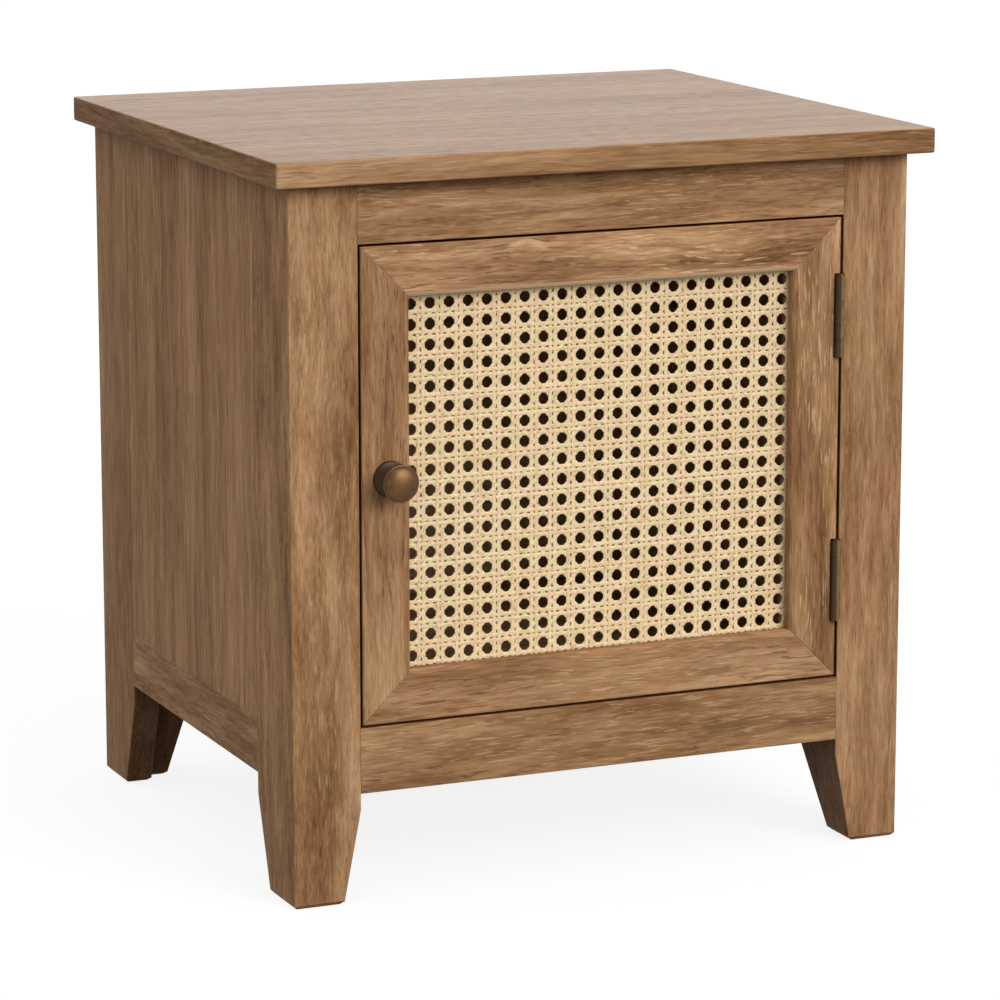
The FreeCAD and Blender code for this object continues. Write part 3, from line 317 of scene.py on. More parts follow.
class WoodGraph(Graph):
    """The graph of one board, whose flow is the coordinates that the grain follows."""

    def __init__(self, name: str, grain: Grain, seed: float, reach: float) -> None:
        """Start an empty graph.

        Args:
            name: Name of the material.
            grain: The way the grain runs.
            seed: Number that sets this board apart from the others.
            reach: How long the marks are.
        """
        super().__init__(name)
        self.grain, self.seed, self.reach = grain, seed, reach
        self.flow = self.place

    @cached_property
    def ends(self) -> Any:
        """How far the surface faces along the grain, either way."""
        return self.join(self.facing(self.grain.value), 0.0, "ABSOLUTE")

    def drawn(self, across: float, along: float, seed: float) -> Any:
        """The flow in waves per metre across the grain and along it, moved by the seed."""
        scale = [float(across)] * 3
        scale[self.grain.value] = along
        return self.stretched(self.flow, tuple(scale), self.seed + seed)

    def layer(self, form: Layer) -> Any:
        """Noise stretched along the grain."""
        place = self.drawn(form.across, form.along / self.reach, form.seed)
        return self.noise(place, form.detail, form.rough, form.bend)

    def mark(self, form: Layer, strength: float) -> Any:
        """Mask of a mark, times its strength."""
        return self.step(self.layer(form), *form.span, (0.0, form.share * strength))

    def wander(self) -> None:
        """Let the grain wander: move each point by up to about 2 mm, by a slow coloured noise."""
        sockets = {"Vector": self.drawn(22, 7.0, 1), "Scale": 1.0, "Detail": 2.0}
        colour = self.add("TexNoise", sockets, "Color")
        off = self.vector("SUBTRACT", colour, (0.5,) * 3)
        self.flow = self.vector("ADD", self.flow, self.vector("MULTIPLY", off, (0.011,) * 3))

    def lip(self) -> None:
        """Turn the grain on the two end faces to run level along the edge, as a lipping's does.

        Where the normal points along the grain, the two level coordinates change places.
        """
        xyz = self.node("SeparateXYZ", {0: self.flow}).outputs
        turned = self.add("CombineXYZ", {0: xyz[1], 1: xyz[0], 2: xyz[2]})
        sockets = {0: self.step(self.ends, 0.68, 0.72), 4: self.flow, 5: turned}
        self.flow = self.add("Mix", sockets, 1, data_type="VECTOR")

    def bend_round(self, knots: tuple[Knot, ...]) -> Any:
        """Bend the flow round each knot.

        Within 2.6 radii a point is read nearer the knot's middle, by a share that falls
        smoothly from 0.45 at the middle to nothing.

        Args:
            knots: The board's knots.

        Returns:
            A mask of the knots' cores, or None.
        """
        core = None
        for knot in knots:
            away = self.vector("SUBTRACT", self.place, knot.middle)
            far = self.vector("LENGTH", away)
            pull = self.step(far, 2.6 * knot.radius, 0.0, (0.0, -0.45))
            self.flow = self.vector("ADD", self.flow, self.vector("MULTIPLY", away, pull))
            edge = self.join(far, self.times(self.cloud(160, 0), 0.7 * knot.radius))
            mask = self.step(edge, 1.5 * knot.radius, 0.7 * knot.radius, (0.0, 0.6 * knot.depth))
            core = mask if core is None else self.join(core, mask, "MAXIMUM")
        return core


@dataclass(frozen=True)
class BrushedWood:
    """Stained hardwood, brushed along its grain: tan, with grey-brown smears and pale flecks.

    A stain below 1 is darker. Reach is the length of the marks, lean lightens one end and gap
    shade is the painted shade that is left of each colour deep in a gap. The inner fields hold
    for faces turned in: painted light above the floor line, painted shade below it. The
    undercut highlight paints undercut chamfers pale, as a painted highlight.
    """

    dark: Colour = shade(92, 62, 38)
    smear: Colour = shade(122, 91, 64)
    brown: Colour = shade(142, 105, 72)
    tan: Colour = shade(169, 131, 95)
    pale: Colour = shade(206, 172, 134)
    painted_inner_light: Colour = shade(206, 172, 132)
    stain: float = 1.0
    figure: float = 1.0
    grit: float = 1.0
    smears: float = 1.0
    flecks: float = 1.0
    bands: float = 0.0
    reach: float = 1.0
    lean: float = 0.0
    wear: float = 0.3
    wear_reach: float = 0.0016
    undercut_highlight: float = 0.0
    roughness: float = 0.58
    gloss: float = 0.06
    top_gloss: float = 0.0
    top_polish: float = 0.0
    top_figure: float = 1.0
    inner_painted_shade: float = 1.0
    inner_painted_light_share: float = 0.0
    floor_line: float = 0.120
    gap_shade: Colour = (0.55, 0.27, 0.08)
    gap_shade_reach: float = 0.005
    lipped: bool = False
    lipping_shade: float = 0.84

    def stained(self, colour: Colour) -> Colour:
        """Darken a colour by the stain, its green and blue a little more than its red."""
        return tuple(part * self.stain**power for part, power in zip(colour, (1.0, 1.12, 1.3)))

    def material(
        self, name: str, grain: Grain, seed: float, knots: tuple[Knot, ...] = ()
    ) -> Material:
        """Make the wood of one board.

        The figure is one noise of six octaves, ten times as long as wide, from 33 mm down to
        a millimetre across, which picks the colour together with a fine grit and broad bands.

        Args:
            name: Name of the material.
            grain: The way the grain runs.
            seed: Number that sets this board apart from the others.
            knots: The board's knots.

        Returns:
            The material.
        """
        graph = WoodGraph(name, grain, seed, self.reach)
        core = graph.bend_round(knots)
        if self.lipped:
            graph.lip()
        graph.wander()
        figure, grit = graph.layer(FIGURE), graph.layer(GRIT)
        figured = graph.swing(figure, 1.3 * self.figure)
        rough = graph.step(grit, 0.3, 0.7, (self.roughness + 0.08, self.roughness - 0.08))
        gloss: Any = self.gloss
        if self.top_gloss:
            upward = graph.facing(2)
            gloss = graph.step(upward, *UPWARD, (self.gloss, self.top_gloss))
            figured = graph.times(figured, graph.step(upward, *UPWARD, (1.0, self.top_figure)))
            polish = graph.step(upward, *UPWARD, (0.0, self.top_polish))
            rough = graph.join(rough, polish, "SUBTRACT")
        if self.lean:
            slope = graph.times(graph.along(grain.value), self.lean)
            on_front = graph.step(graph.facing(1), -0.4, -0.9)
            figured = graph.join(figured, graph.times(slope, on_front))
        tone = graph.join(graph.join(figured, graph.swing(grit, 0.16 * self.grit)), 0.5)
        if self.bands:
            tone = graph.join(tone, graph.swing(graph.layer(BAND), self.bands))
        colour = self.handled(graph, self.marked(graph, tone), core)
        normal = graph.relief(graph.weighed(figure, grit, 0.8), 0.0010, 0.6)
        return graph.finish(
            Base_Color=colour, Roughness=rough, Normal=normal, Specular_IOR_Level=gloss
        )

    def marked(self, graph: WoodGraph, tone: Any) -> Any:
        """Colour the tone, from dark to pale, and mark it.

        Smears and torn ticks darken it and flecks lighten it; ticks and flecks gather in
        patches, which are also a little cooler or warmer.

        Args:
            graph: The wood's graph.
            tone: The tone, about 0 to 1.

        Returns:
            The colour.
        """
        patch = graph.layer(PATCH)
        dark, dull, brown, tan, pale = (
            self.stained(c) for c in (self.dark, self.smear, self.brown, self.tan, self.pale)
        )
        colour = graph.ramp(tone, [(0.20, dark), (0.41, brown), (0.57, tan), (0.84, pale)])
        colour = graph.blend(graph.mark(SMEAR, self.smears), colour, dull)
        for form, span, mark in ((TICK, PATCH.span[::-1], dark), (FLECK, PATCH.span, pale)):
            share = graph.times(graph.mark(form, self.flecks), graph.step(patch, *span))
            colour = graph.blend(share, colour, mark)
        tint = graph.ramp(patch, [(0.35, shade(253, 247, 244)), (0.65, shade(252, 250, 241))])
        return graph.dimmed(colour, tint)

    def handled(self, graph: WoodGraph, colour: Any, core: Any) -> Any:
        """Change the colour by place: lipping, inner faces, knots, worn edges and gaps.

        Args:
            graph: The wood's graph.
            colour: The marked colour.
            core: Mask of the knots' cores, or None.

        Returns:
            The colour.
        """
        pale = self.stained(self.pale)
        if self.lipped:
            shaded = graph.step(graph.ends, 0.6, 0.9, (1.0, self.lipping_shade))
            colour = graph.dimmed(colour, shaded)
        inside = None
        if self.inner_painted_light_share:
            low, high = self.floor_line - 0.008, self.floor_line + 0.008
            inside = graph.step(graph.along(Grain.UPRIGHT.value), low, high)
        # Painted shade: faces turned in, below the floor line, are darkened.
        if self.inner_painted_shade < 1:
            share = graph.step(graph.inward(), 0.0, 1.0, (1.0, self.inner_painted_shade))
            if inside is not None:
                share = graph.join(share, inside, "MAXIMUM")
            colour = graph.dimmed(colour, share)
        if core is not None:
            colour = graph.blend(core, colour, self.stained(self.smear))
        worn = graph.times(graph.edges(self.wear_reach), self.wear)
        # Painted highlight: undercut chamfers, which face down into shade, are painted pale.
        if self.undercut_highlight:
            worn = graph.join(worn, graph.times(graph.undercut(), self.undercut_highlight), "MAXIMUM")
        colour = graph.blend(worn, colour, pale)
        # Painted light: faces turned in above the floor line are lightened, standing in for light
        # inside the cabinet.
        if inside is not None:
            painted_inner_light = graph.step(graph.inward(), 0.0, 1.0, (0.0, self.inner_painted_light_share))
            colour = graph.blend(graph.times(painted_inner_light, inside), colour, self.painted_inner_light, "SCREEN")
        # Painted shade: darken the colour towards the gap shade colour deep in gaps and crevices.
        open_share = graph.crevice_shade(self.gap_shade_reach, 0.0)
        return graph.dimmed(colour, graph.ramp(open_share, [(0.0, self.gap_shade), (1.0, WHITE)]))


@dataclass(frozen=True)
class SplitCane:
    """Strips of cane bark: straw-coloured and satin, with lengthwise fibres and brown specks."""

    straw: Colour = shade(230, 202, 157)
    cream: Colour = shade(243, 222, 182)
    honey: Colour = shade(208, 174, 124)
    olive: Colour = shade(186, 158, 100)
    rind: Colour = shade(250, 226, 196)
    speck: Colour = shade(142, 110, 66)

    def material(self, name: str) -> Material:
        """Make the cane; its pattern follows the strips' own map, length by width in metres.

        Args:
            name: Name of the material.

        Returns:
            The material.
        """
        graph = Graph(name)
        run = graph.add("UVMap", uv_map="strip")
        tint = graph.add("Attribute", out="Fac", attribute_name="tint")
        fibre = graph.noise(graph.stretched(run, (60, 2600, 1), 1), 3, 0.6)
        speck = graph.noise(graph.stretched(run, (160, 700, 1), 9), 2)
        cloud, mottle = graph.cloud(70, 4, 3, 0.6), graph.cloud(620, 6, 3, 0.7)
        stops = [(0.18, self.honey), (0.48, self.straw), (0.80, self.cream)]
        colour = graph.ramp(graph.weighed(fibre, tint, 0.5), stops)
        colour = graph.blend(graph.step(cloud, 0.5, 0.72, (0.0, 0.45)), colour, self.honey)
        colour = graph.blend(graph.step(speck, 0.60, 0.72, (0.0, 0.7)), colour, self.speck)
        colour = graph.blend(graph.step(mottle, 0.46, 0.70, (0.0, 0.6)), colour, self.olive)
        colour = graph.blend(graph.step(mottle, 0.48, 0.30, (0.0, 0.5)), colour, self.rind)
        normal = graph.relief(graph.weighed(fibre, mottle, 0.5), 0.00022, 0.7)
        rough = graph.step(cloud, 0.3, 0.7, (0.38, 0.55))
        return graph.finish(Base_Color=colour, Roughness=rough, Normal=normal)


@dataclass(frozen=True)
class AgedMetal:
    """Patinated metal: mottled, lighter where hands and wear have rubbed its edges.

    painted_shade_span names the axis along which it turns darker, as painted shade, and where
    that starts and ends.
    """

    deep: Colour
    worn: Colour
    metallic: float = 0.85
    roughness: float = 0.42
    mottle: float = 160.0
    painted_shade_span: tuple[int, float, float] | None = None

    def material(self, name: str) -> Material:
        """Make the metal.

        Two noises mottle its colour and roughness, its edges are rubbed, and its crevices get
        painted shade. Past the given place it turns darker, as painted shade.

        Args:
            name: Name of the material.

        Returns:
            The material.
        """
        graph = Graph(name)
        cloud, grit = graph.cloud(self.mottle, 2, 4, 0.6), graph.cloud(2400, 5)
        colour = graph.blend(graph.step(cloud, 0.32, 0.70), self.deep, self.worn)
        rubbed = tuple(min(1.0, 1.5 * c) for c in self.worn)
        colour = graph.blend(graph.times(graph.edges(0.0008), 0.6), colour, rubbed)
        # Painted shade: past the span the colour is darkened, on the hinges' barrel side away from
        # the lamp and under the knob's head.
        if self.painted_shade_span is not None:
            axis, start, end = self.painted_shade_span
            shaded_share = graph.step(graph.along(axis), start, end, (0.0, 0.85))
            colour = graph.blend(shaded_share, colour, tuple(0.25 * c for c in self.deep))
        # Painted shade: darken the colour in crevices.
        colour = graph.dimmed(colour, graph.crevice_shade(0.003, 0.3))
        span = (self.roughness - 0.08, self.roughness + 0.14)
        return graph.finish(
            Base_Color=colour,
            Metallic=self.metallic,
            Roughness=graph.step(graph.weighed(cloud, grit, 0.6), 0.3, 0.7, span),
            Normal=graph.relief(grit, 0.00008, 0.5),
        )


@dataclass(frozen=True)
class PlainPlastic:
    """Moulded plastic with a fine grain, for the case of the catch."""

    tone: Colour = shade(92, 62, 42)

    def material(self, name: str) -> Material:
        """Make the plastic: a fine noise gives its moulded grain and a slow one its clouding.

        Args:
            name: Name of the material.

        Returns:
            The material.
        """
        graph = Graph(name)
        grain = graph.cloud(1500, 1)
        colour = graph.blend(graph.cloud(90, 3), self.tone, tuple(1.25 * c for c in self.tone))
        rough = graph.step(grain, 0.3, 0.7, (0.42, 0.56))
        normal = graph.relief(grain, 0.0001, 0.5)
        return graph.finish(Base_Color=colour, Roughness=rough, Normal=normal)


FRONT_WOOD = BrushedWood()
DARK_WOOD = replace(FRONT_WOOD, stain=0.86, figure=1.15)
DOOR_WOOD = replace(FRONT_WOOD, wear=0.12, undercut_highlight=1.0)
TOP_RAIL_WOOD = replace(DOOR_WOOD, stain=1.24, figure=1.25, lean=-0.5)
POST_WOOD = replace(
    FRONT_WOOD, grit=1.1, smears=0.6, flecks=0.55, gloss=0.05, reach=0.9, inner_painted_shade=0.62,
    undercut_highlight=0.7,
)
LEFT_POST_WOOD = replace(POST_WOOD, grit=1.5, stain=0.97, reach=0.7)
SIDE_WOOD = replace(
    FRONT_WOOD, figure=0.8, grit=0.6, smears=0.7, flecks=0.9, bands=0.32, gloss=0.05, reach=1.3,
    inner_painted_light_share=0.6,
)
BACK_POST_WOOD = replace(SIDE_WOOD, stain=0.82, inner_painted_shade=0.62, undercut_highlight=0.5)
TOP_WOOD = replace(
    FRONT_WOOD, stain=0.88, figure=1.1, smears=0.8, flecks=0.5, lean=-0.9, wear=0.5,
    gloss=0.04, top_gloss=0.5, top_polish=0.20, top_figure=0.65, reach=1.5, lipped=True,
)
INNER_WOOD = replace(
    FRONT_WOOD, brown=shade(186, 150, 112), tan=shade(206, 172, 132), pale=shade(226, 198, 160),
    smears=0.4, flecks=0.5,
)
PLYWOOD = replace(
    FRONT_WOOD, brown=shade(200, 166, 126), tan=shade(216, 186, 146), pale=shade(232, 206, 170),
    figure=0.7, smears=0.3, flecks=0.4, reach=1.6,
)
DOWEL_WOOD = replace(
    FRONT_WOOD, brown=shade(182, 146, 104), tan=shade(196, 162, 120), smears=0.2, flecks=0.3
)
KNOB_BRONZE = AgedMetal(
    deep=shade(82, 56, 33), worn=shade(110, 79, 48), metallic=0.75, roughness=0.34,
    mottle=60.0, painted_shade_span=(1, -0.2318, -0.2298),
)
HINGE_BRONZE = AgedMetal(
    deep=shade(94, 70, 40), worn=shade(130, 98, 60), metallic=0.5, roughness=0.45,
    painted_shade_span=(0, 0.1958, 0.1942),
)
SCREW_STEEL = AgedMetal(deep=shade(120, 116, 108), worn=shade(176, 172, 162), metallic=1.0)


# Meshes.

FLAT_WITHIN = math.radians(0.6)
CORNER_FROM = math.radians(30)
SHARP_FROM = math.radians(28)
TURNED_SHARP_FROM = math.radians(35)


def placed(name: str, data: bpy.types.ID) -> Piece:
    """Put a mesh, a lamp or a camera into the scene.

    Args:
        name: Name of the object.
        data: The mesh, lamp or camera.

    Returns:
        The object.
    """
    thing = bpy.data.objects.new(name, data)
    bpy.context.scene.collection.objects.link(thing)
    return thing


def finished(name: str, mesh: Mesh, body: Body) -> Piece:
    """Put a mesh into the scene as a piece that rides on a body.

    Args:
        name: Name of the piece.
        mesh: The mesh, already in its place.
        body: The body that carries it.

    Returns:
        The piece.
    """
    piece = placed(name, mesh)
    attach(piece, body.value)
    return piece


def grid_faces(rows: int, columns: int, ring: bool = False) -> np.ndarray:
    """List the corners of the faces of a grid of points.

    Face (i, j) joins points (i, j), (i, j + 1), (i + 1, j + 1) and (i + 1, j), with j taken
    round where each row is a ring.

    Args:
        rows: Number of rows.
        columns: Number of points in a row.
        ring: Whether each row closes on itself.

    Returns:
        The four corners of each face.
    """
    i = np.arange(rows - 1)[:, None]
    j = np.arange(columns if ring else columns - 1)[None]
    after = (j + 1) % columns
    here, above = i * columns, (i + 1) * columns
    corners = [here + j, here + after, above + after, above + j]
    return np.stack(corners, axis=-1).reshape(-1, 4)


def smooth_mesh(name: str, points: np.ndarray, faces: np.ndarray) -> Mesh:
    """Make a smooth-shaded mesh.

    Args:
        name: Name of the mesh.
        points: Points, in metres, as an array whose last side is 3.
        faces: Four corners of each face.

    Returns:
        The mesh.
    """
    mesh = bpy.data.meshes.new(name)
    mesh.from_pydata(points.reshape(-1, 3), [], faces)
    mesh.polygons.foreach_set("use_smooth", np.ones(len(faces), bool))
    return mesh


def from_solid(node: str, name: str, body: Body, slot: str, ease: float, least: float) -> Piece:
    """Copy a solid's mesh as a piece of its own, with its long edges eased.

    Args:
        node: The solid.
        name: Name of the piece.
        body: The body that carries it.
        slot: Not used.
        ease: Width of the eased edge, in metres.
        least: Length from which an edge is eased, in metres.

    Returns:
        The piece, which replaces the solid.
    """
    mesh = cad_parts[node].data.copy()
    mesh.materials.clear()
    if "custom_normal" in mesh.attributes:
        mesh.attributes.remove(mesh.attributes["custom_normal"])
    form = bmesh.new()
    form.from_mesh(mesh)
    bmesh.ops.remove_doubles(form, verts=form.verts, dist=2e-6)
    bmesh.ops.dissolve_limit(form, angle_limit=FLAT_WITHIN, verts=form.verts, edges=form.edges)
    weight = form.edges.layers.float.new("bevel_weight_edge")
    for edge in form.edges:
        corner = len(edge.link_faces) == 2 and edge.calc_face_angle(0) > CORNER_FROM
        edge[weight] = 1.0 if corner and edge.calc_length() > least else 0.0
    for face in form.faces:
        face.smooth = True
    form.to_mesh(mesh)
    form.free()
    mesh.set_sharp_from_angle(angle=SHARP_FROM)
    piece = finished(name, mesh, body)
    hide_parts(node)
    bevel = piece.modifiers.new("eased", "BEVEL")
    bevel.width = ease
    bevel.segments = 2
    bevel.limit_method = "WEIGHT"
    bevel.use_clamp_overlap = False
    return piece


# Sub-assemblies.


@dataclass(frozen=True)
class Board:
    """One board: its solid, its grain, its finish and its knots."""

    node: str
    grain: Grain
    wood: BrushedWood
    knots: tuple[Knot, ...] = ()


def alike(grain: Grain, wood: BrushedWood, *nodes: str) -> list[Board]:
    """Boards of the same grain and finish."""
    return [Board(node, grain, wood) for node in nodes]


@dataclass
class BoardWork:
    """A sub-assembly made of boards."""

    body: Body = Body.CARCASS
    ease: float = 0.0004
    eased_from: float = 0.012
    first_seed: float = 4.0
    seed_step: float = 4.13
    pieces: list[Piece] = field(default_factory=list)

    def boards(self) -> list[Board]:
        """The boards of the sub-assembly."""
        raise NotImplementedError

    def build(self) -> None:
        """Build each board from its solid."""
        eased = (self.ease, self.eased_from)
        self.pieces = [
            from_solid(board.node, f"{board.node}_board", self.body, "wood", *eased)
            for board in self.boards()
        ]

    def dress(self) -> None:
        """Give each board its own wood, with a seed that sets its grain apart."""
        for number, (board, piece) in enumerate(zip(self.boards(), self.pieces)):
            seed = self.first_seed + self.seed_step * number
            wood = board.wood.material(f"{board.node}_wood", board.grain, seed, board.knots)
            piece.data.materials.append(wood)
            log.info("board %s", piece.name)


@dataclass
class Top(BoardWork):
    """The top: one board with lipped ends."""

    ease: float = 0.0011

    def boards(self) -> list[Board]:
        """The top board."""
        return [Board("table_top", Grain.ACROSS, TOP_WOOD)]


@dataclass
class Posts(BoardWork):
    """The four tapered corner posts."""

    ease: float = 0.0006
    first_seed: float = 11.0

    def boards(self) -> list[Board]:
        """The posts; the left front one has the coarsest grain, and the back ones are plainer."""
        return [
            Board("front_left_post", Grain.UPRIGHT, LEFT_POST_WOOD),
            Board("front_right_post", Grain.UPRIGHT, POST_WOOD),
            *alike(Grain.UPRIGHT, BACK_POST_WOOD, "back_left_post", "back_right_post"),
        ]


@dataclass
class Rails(BoardWork):
    """The six rails; the top one has a knot at its left end."""

    knot: Knot = Knot((-0.1915, -0.2105, 0.5265), 0.006)
    first_seed: float = 31.0

    def boards(self) -> list[Board]:
        """The rails."""
        return [
            Board("front_top_rail", Grain.ACROSS, FRONT_WOOD, (self.knot,)),
            Board("front_bottom_rail", Grain.ACROSS, DARK_WOOD),
            *alike(Grain.ACROSS, INNER_WOOD, "back_top_rail", "back_bottom_rail"),
            *alike(Grain.DEEP, DARK_WOOD, "left_side_rail", "right_side_rail"),
        ]


@dataclass
class Sides(BoardWork):
    """The side panels."""

    ease: float = 0.0003
    first_seed: float = 61.0

    def boards(self) -> list[Board]:
        """The two panels."""
        return alike(Grain.UPRIGHT, SIDE_WOOD, "left_side_panel", "right_side_panel")


@dataclass
class Inside(BoardWork):
    """The cabinet floor and the four cleats."""

    first_seed: float = 71.0

    def boards(self) -> list[Board]:
        """The floor and the cleats."""
        places = ("left_top", "left_floor", "right_top", "right_floor")
        cleats = alike(Grain.DEEP, INNER_WOOD, *(f"{place}_cleat" for place in places))
        return [Board("cabinet_floor", Grain.ACROSS, INNER_WOOD), *cleats]


@dataclass
class DoorFrame(BoardWork):
    """The mitred frame of the door; its top rail has a clouded spot."""

    body: Body = Body.DOOR
    ease: float = 0.0009
    cloud: Knot = Knot((-0.064, -0.2105, 0.4840), 0.007, 0.6)
    first_seed: float = 101.0

    def boards(self) -> list[Board]:
        """The stiles and the rails."""
        return [
            Board("door_left_stile", Grain.UPRIGHT, replace(DOOR_WOOD, stain=0.87)),
            Board("door_right_stile", Grain.UPRIGHT, replace(DOOR_WOOD, stain=1.09)),
            Board("door_top_rail", Grain.ACROSS, TOP_RAIL_WOOD, (self.cloud,)),
            Board("door_bottom_rail", Grain.ACROSS, DOOR_WOOD),
        ]


@dataclass
class CaneWeave:
    """Woven cane: pairs of upright and crosswise strips, and slanting strips both ways."""

    low: Pair = (-0.165, 0.1675)
    high: Pair = (0.165, 0.462)
    middle_height: float = 0.31475
    middle_depth: float = -0.198
    columns: int = 21
    rows: int = 18
    pitch: Pair = (0.01525, 0.0156)
    pair_spread: float = 0.0039
    strip_width: float = 0.00355
    strip_thickness: float = 0.00042
    strip_sides: int = 6
    lift: float = 0.00006
    points_per_pitch: int = 12
    slant_width: float = 0.0032
    slant_thickness: float = 0.00036
    slant_back: float = 0.00003
    slant_lift: float = 0.00003
    slant_step: float = 0.00006
    slant_points: float = 5.6
    shortest_slant: float = 0.3
    waver: float = 0.00018
    waver_lengths: Pair = (0.031, 0.0112)
    misplaced: float = 0.00006
    breadths: Pair = (0.97, 1.03)
    tints: Pair = (0.38, 0.72)
    swell: float = 0.03
    swell_length: float = 0.017
    ripple: float = 0.05
    ripple_length: float = 0.0051
    seed: int = 7

    def strips(
        self, name: str, lines: Arrays, depths: Arrays, width: float, thickness: float
    ) -> Piece:
        """Carry a flat oval section along each line.

        The section's point at angle a lies cos a times half the width to the side of the line
        and sin a times half the thickness in front of it. Sines of the length make the line
        waver and the width swell and ripple. Each point also gets its place on the strip's map
        and the strip's tint.

        Args:
            name: Name of the piece.
            lines: For each strip its points across and up, as an array of (points, 2).
            depths: For each strip its depth at each point.
            width: Width of the strips.
            thickness: Thickness of the strips.

        Returns:
            The piece.
        """
        chance = np.random.default_rng(self.seed + len(name))
        angle = np.linspace(0, 2 * np.pi, self.strip_sides, endpoint=False)[None]
        tables, faces = [], []
        start = 0
        for line, depth in zip(lines, depths):
            along = np.gradient(line, axis=0)
            along /= np.linalg.norm(along, axis=1, keepdims=True)
            side = np.stack([along[:, 1], -along[:, 0]], axis=1)
            length = np.concatenate([[0], np.cumsum(np.linalg.norm(np.diff(line, axis=0), axis=1))])
            phase = chance.uniform(0, 2 * np.pi, 3)
            slow, quick = (np.sin(length / w + p) for w, p in zip(self.waver_lengths, phase))
            swell = self.swell * np.sin(length / self.swell_length + phase[2])
            ripple = self.ripple * np.sin(2 * np.pi * length / self.ripple_length + phase[0])
            breadth = width * (1 + swell + ripple) * chance.uniform(*self.breadths)
            off = self.waver * (slow + 0.6 * quick) * 0.6 + chance.normal(0, self.misplaced)
            centre = line + side * off[:, None]
            half = 0.5 * breadth[:, None] * np.cos(angle)
            table = (
                np.clip(centre[:, :1] + side[:, :1] * half, self.low[0], self.high[0]),
                depth[:, None] - 0.5 * thickness * np.sin(angle),
                np.clip(centre[:, 1:] + side[:, 1:] * half, self.low[1], self.high[1]),
                length[:, None] + chance.uniform(0, 3),
                np.cos(angle) * 0.5 * width + chance.uniform(0, 1),
                chance.uniform(*self.tints),
            )
            tables.append(np.stack(np.broadcast_arrays(*table), axis=-1).reshape(-1, len(table)))
            faces.append(grid_faces(len(line), self.strip_sides, True) + start)
            start += len(tables[-1])
        points, quads = np.concatenate(tables), np.concatenate(faces)
        mesh = smooth_mesh(name, points[:, :3], quads)
        layer = mesh.uv_layers.new(name="strip")
        spread = points[quads.reshape(-1), 3:5].reshape(-1)
        layer.data.foreach_set("uv", spread.astype(np.float32))
        tint = mesh.attributes.new("tint", "FLOAT", "POINT")
        tint.data.foreach_set("value", points[:, 5].astype(np.float32))
        form = bmesh.new()
        form.from_mesh(mesh)
        ends = [edge for edge in form.edges if len(edge.link_faces) == 1]
        bmesh.ops.holes_fill(form, edges=ends, sides=0)
        bmesh.ops.recalc_face_normals(form, faces=form.faces)
        form.to_mesh(mesh)
        form.free()
        return finished(name, mesh, Body.DOOR)

    def straight(self, upright: bool) -> tuple[Arrays, Arrays]:
        """Lay the pairs of one direction.

        A strip passes in front of every second strip that it crosses: its depth goes by a
        smooth wave between plus and minus the lift at the crossings, and through nothing
        between two pairs.

        Args:
            upright: Whether the pairs are upright or crosswise.

        Returns:
            Lines and depths of the strips.
        """
        own, other = (0, 1) if upright else (1, 0)
        counts = (self.columns + 1, self.rows + 1)
        bands = [
            middle + (np.arange(count) - (count - 1) / 2) * pitch
            for middle, count, pitch in zip((0.0, self.middle_height), counts, self.pitch)
        ]
        half = self.pair_spread / 2
        pairs = [(band[:, None] + np.array([[-half, half]])).reshape(-1) for band in bands]
        between = (bands[other][:-1] + bands[other][1:]) / 2
        stops = np.concatenate([pairs[other], between])
        order = np.argsort(stops)
        run = np.linspace(
            self.low[other], self.high[other], counts[other] * self.points_per_pitch + 1
        )
        first = -self.lift if upright else self.lift
        lines, depths = [], []
        for number, at in enumerate(pairs[own]):
            even = (np.arange(len(pairs[other])) + number) % 2 == 0
            heights = np.concatenate([np.where(even, first, -first), np.zeros(len(between))])
            depths.append(self.middle_depth + self.eased(run, stops[order], heights[order]))
            line = [np.full(len(run), at), run]
            lines.append(np.stack(line if upright else line[::-1], axis=1))
        return lines, depths

    @staticmethod
    def eased(run: np.ndarray, stops: np.ndarray, heights: np.ndarray) -> np.ndarray:
        """Go between the heights at the stops by half waves of a cosine.

        Args:
            run: Where the depth is wanted.
            stops: Rising places of the stops.
            heights: Height at each stop.

        Returns:
            The height at each place of the run.
        """
        at = np.clip(np.searchsorted(stops, run) - 1, 0, len(stops) - 2)
        share = np.clip((run - stops[at]) / (stops[at + 1] - stops[at]), 0, 1)
        share = (1 - np.cos(np.pi * share)) / 2
        return heights[at] * (1 - share) + heights[at + 1] * share

    def slanting(self, rising: bool) -> tuple[Arrays, Arrays]:
        """Lay the slanting strips of one direction.

        In pitches from the panel's middle, holes lie at whole numbers across and at whole
        numbers and a half up. A strip keeps across minus up (rising) or across plus up
        (falling) at a whole number. Its depth goes by a cosine with one wave per pitch,
        nearest the front at the uprights. Rising strips lie one step in front of falling ones.

        Args:
            rising: Whether the strips rise to the right.

        Returns:
            Lines and depths of the strips.
        """
        turn = 1.0 if rising else -1.0
        low, high = (
            (across / self.pitch[0], (up - self.middle_height) / self.pitch[1])
            for across, up in (self.low, self.high)
        )
        reach = (self.columns + self.rows) // 2 + 2
        lines, depths = [], []
        for offset in range(-reach, reach + 1):
            ends = sorted([turn * low[1] + offset, turn * high[1] + offset])
            first, last = max(low[0], ends[0]), min(high[0], ends[1])
            if last - first < self.shortest_slant:
                continue
            count = max(4, int((last - first) * self.slant_points))
            across = np.linspace(first, last, count)
            up = turn * (across - offset)
            lines.append(
                np.stack([across * self.pitch[0], up * self.pitch[1] + self.middle_height], axis=1)
            )
            wave = np.cos(2 * np.pi * (across - 0.5))
            back = self.slant_back - self.slant_lift * wave - 0.5 * turn * self.slant_step
            depths.append(self.middle_depth + back)
        return lines, depths

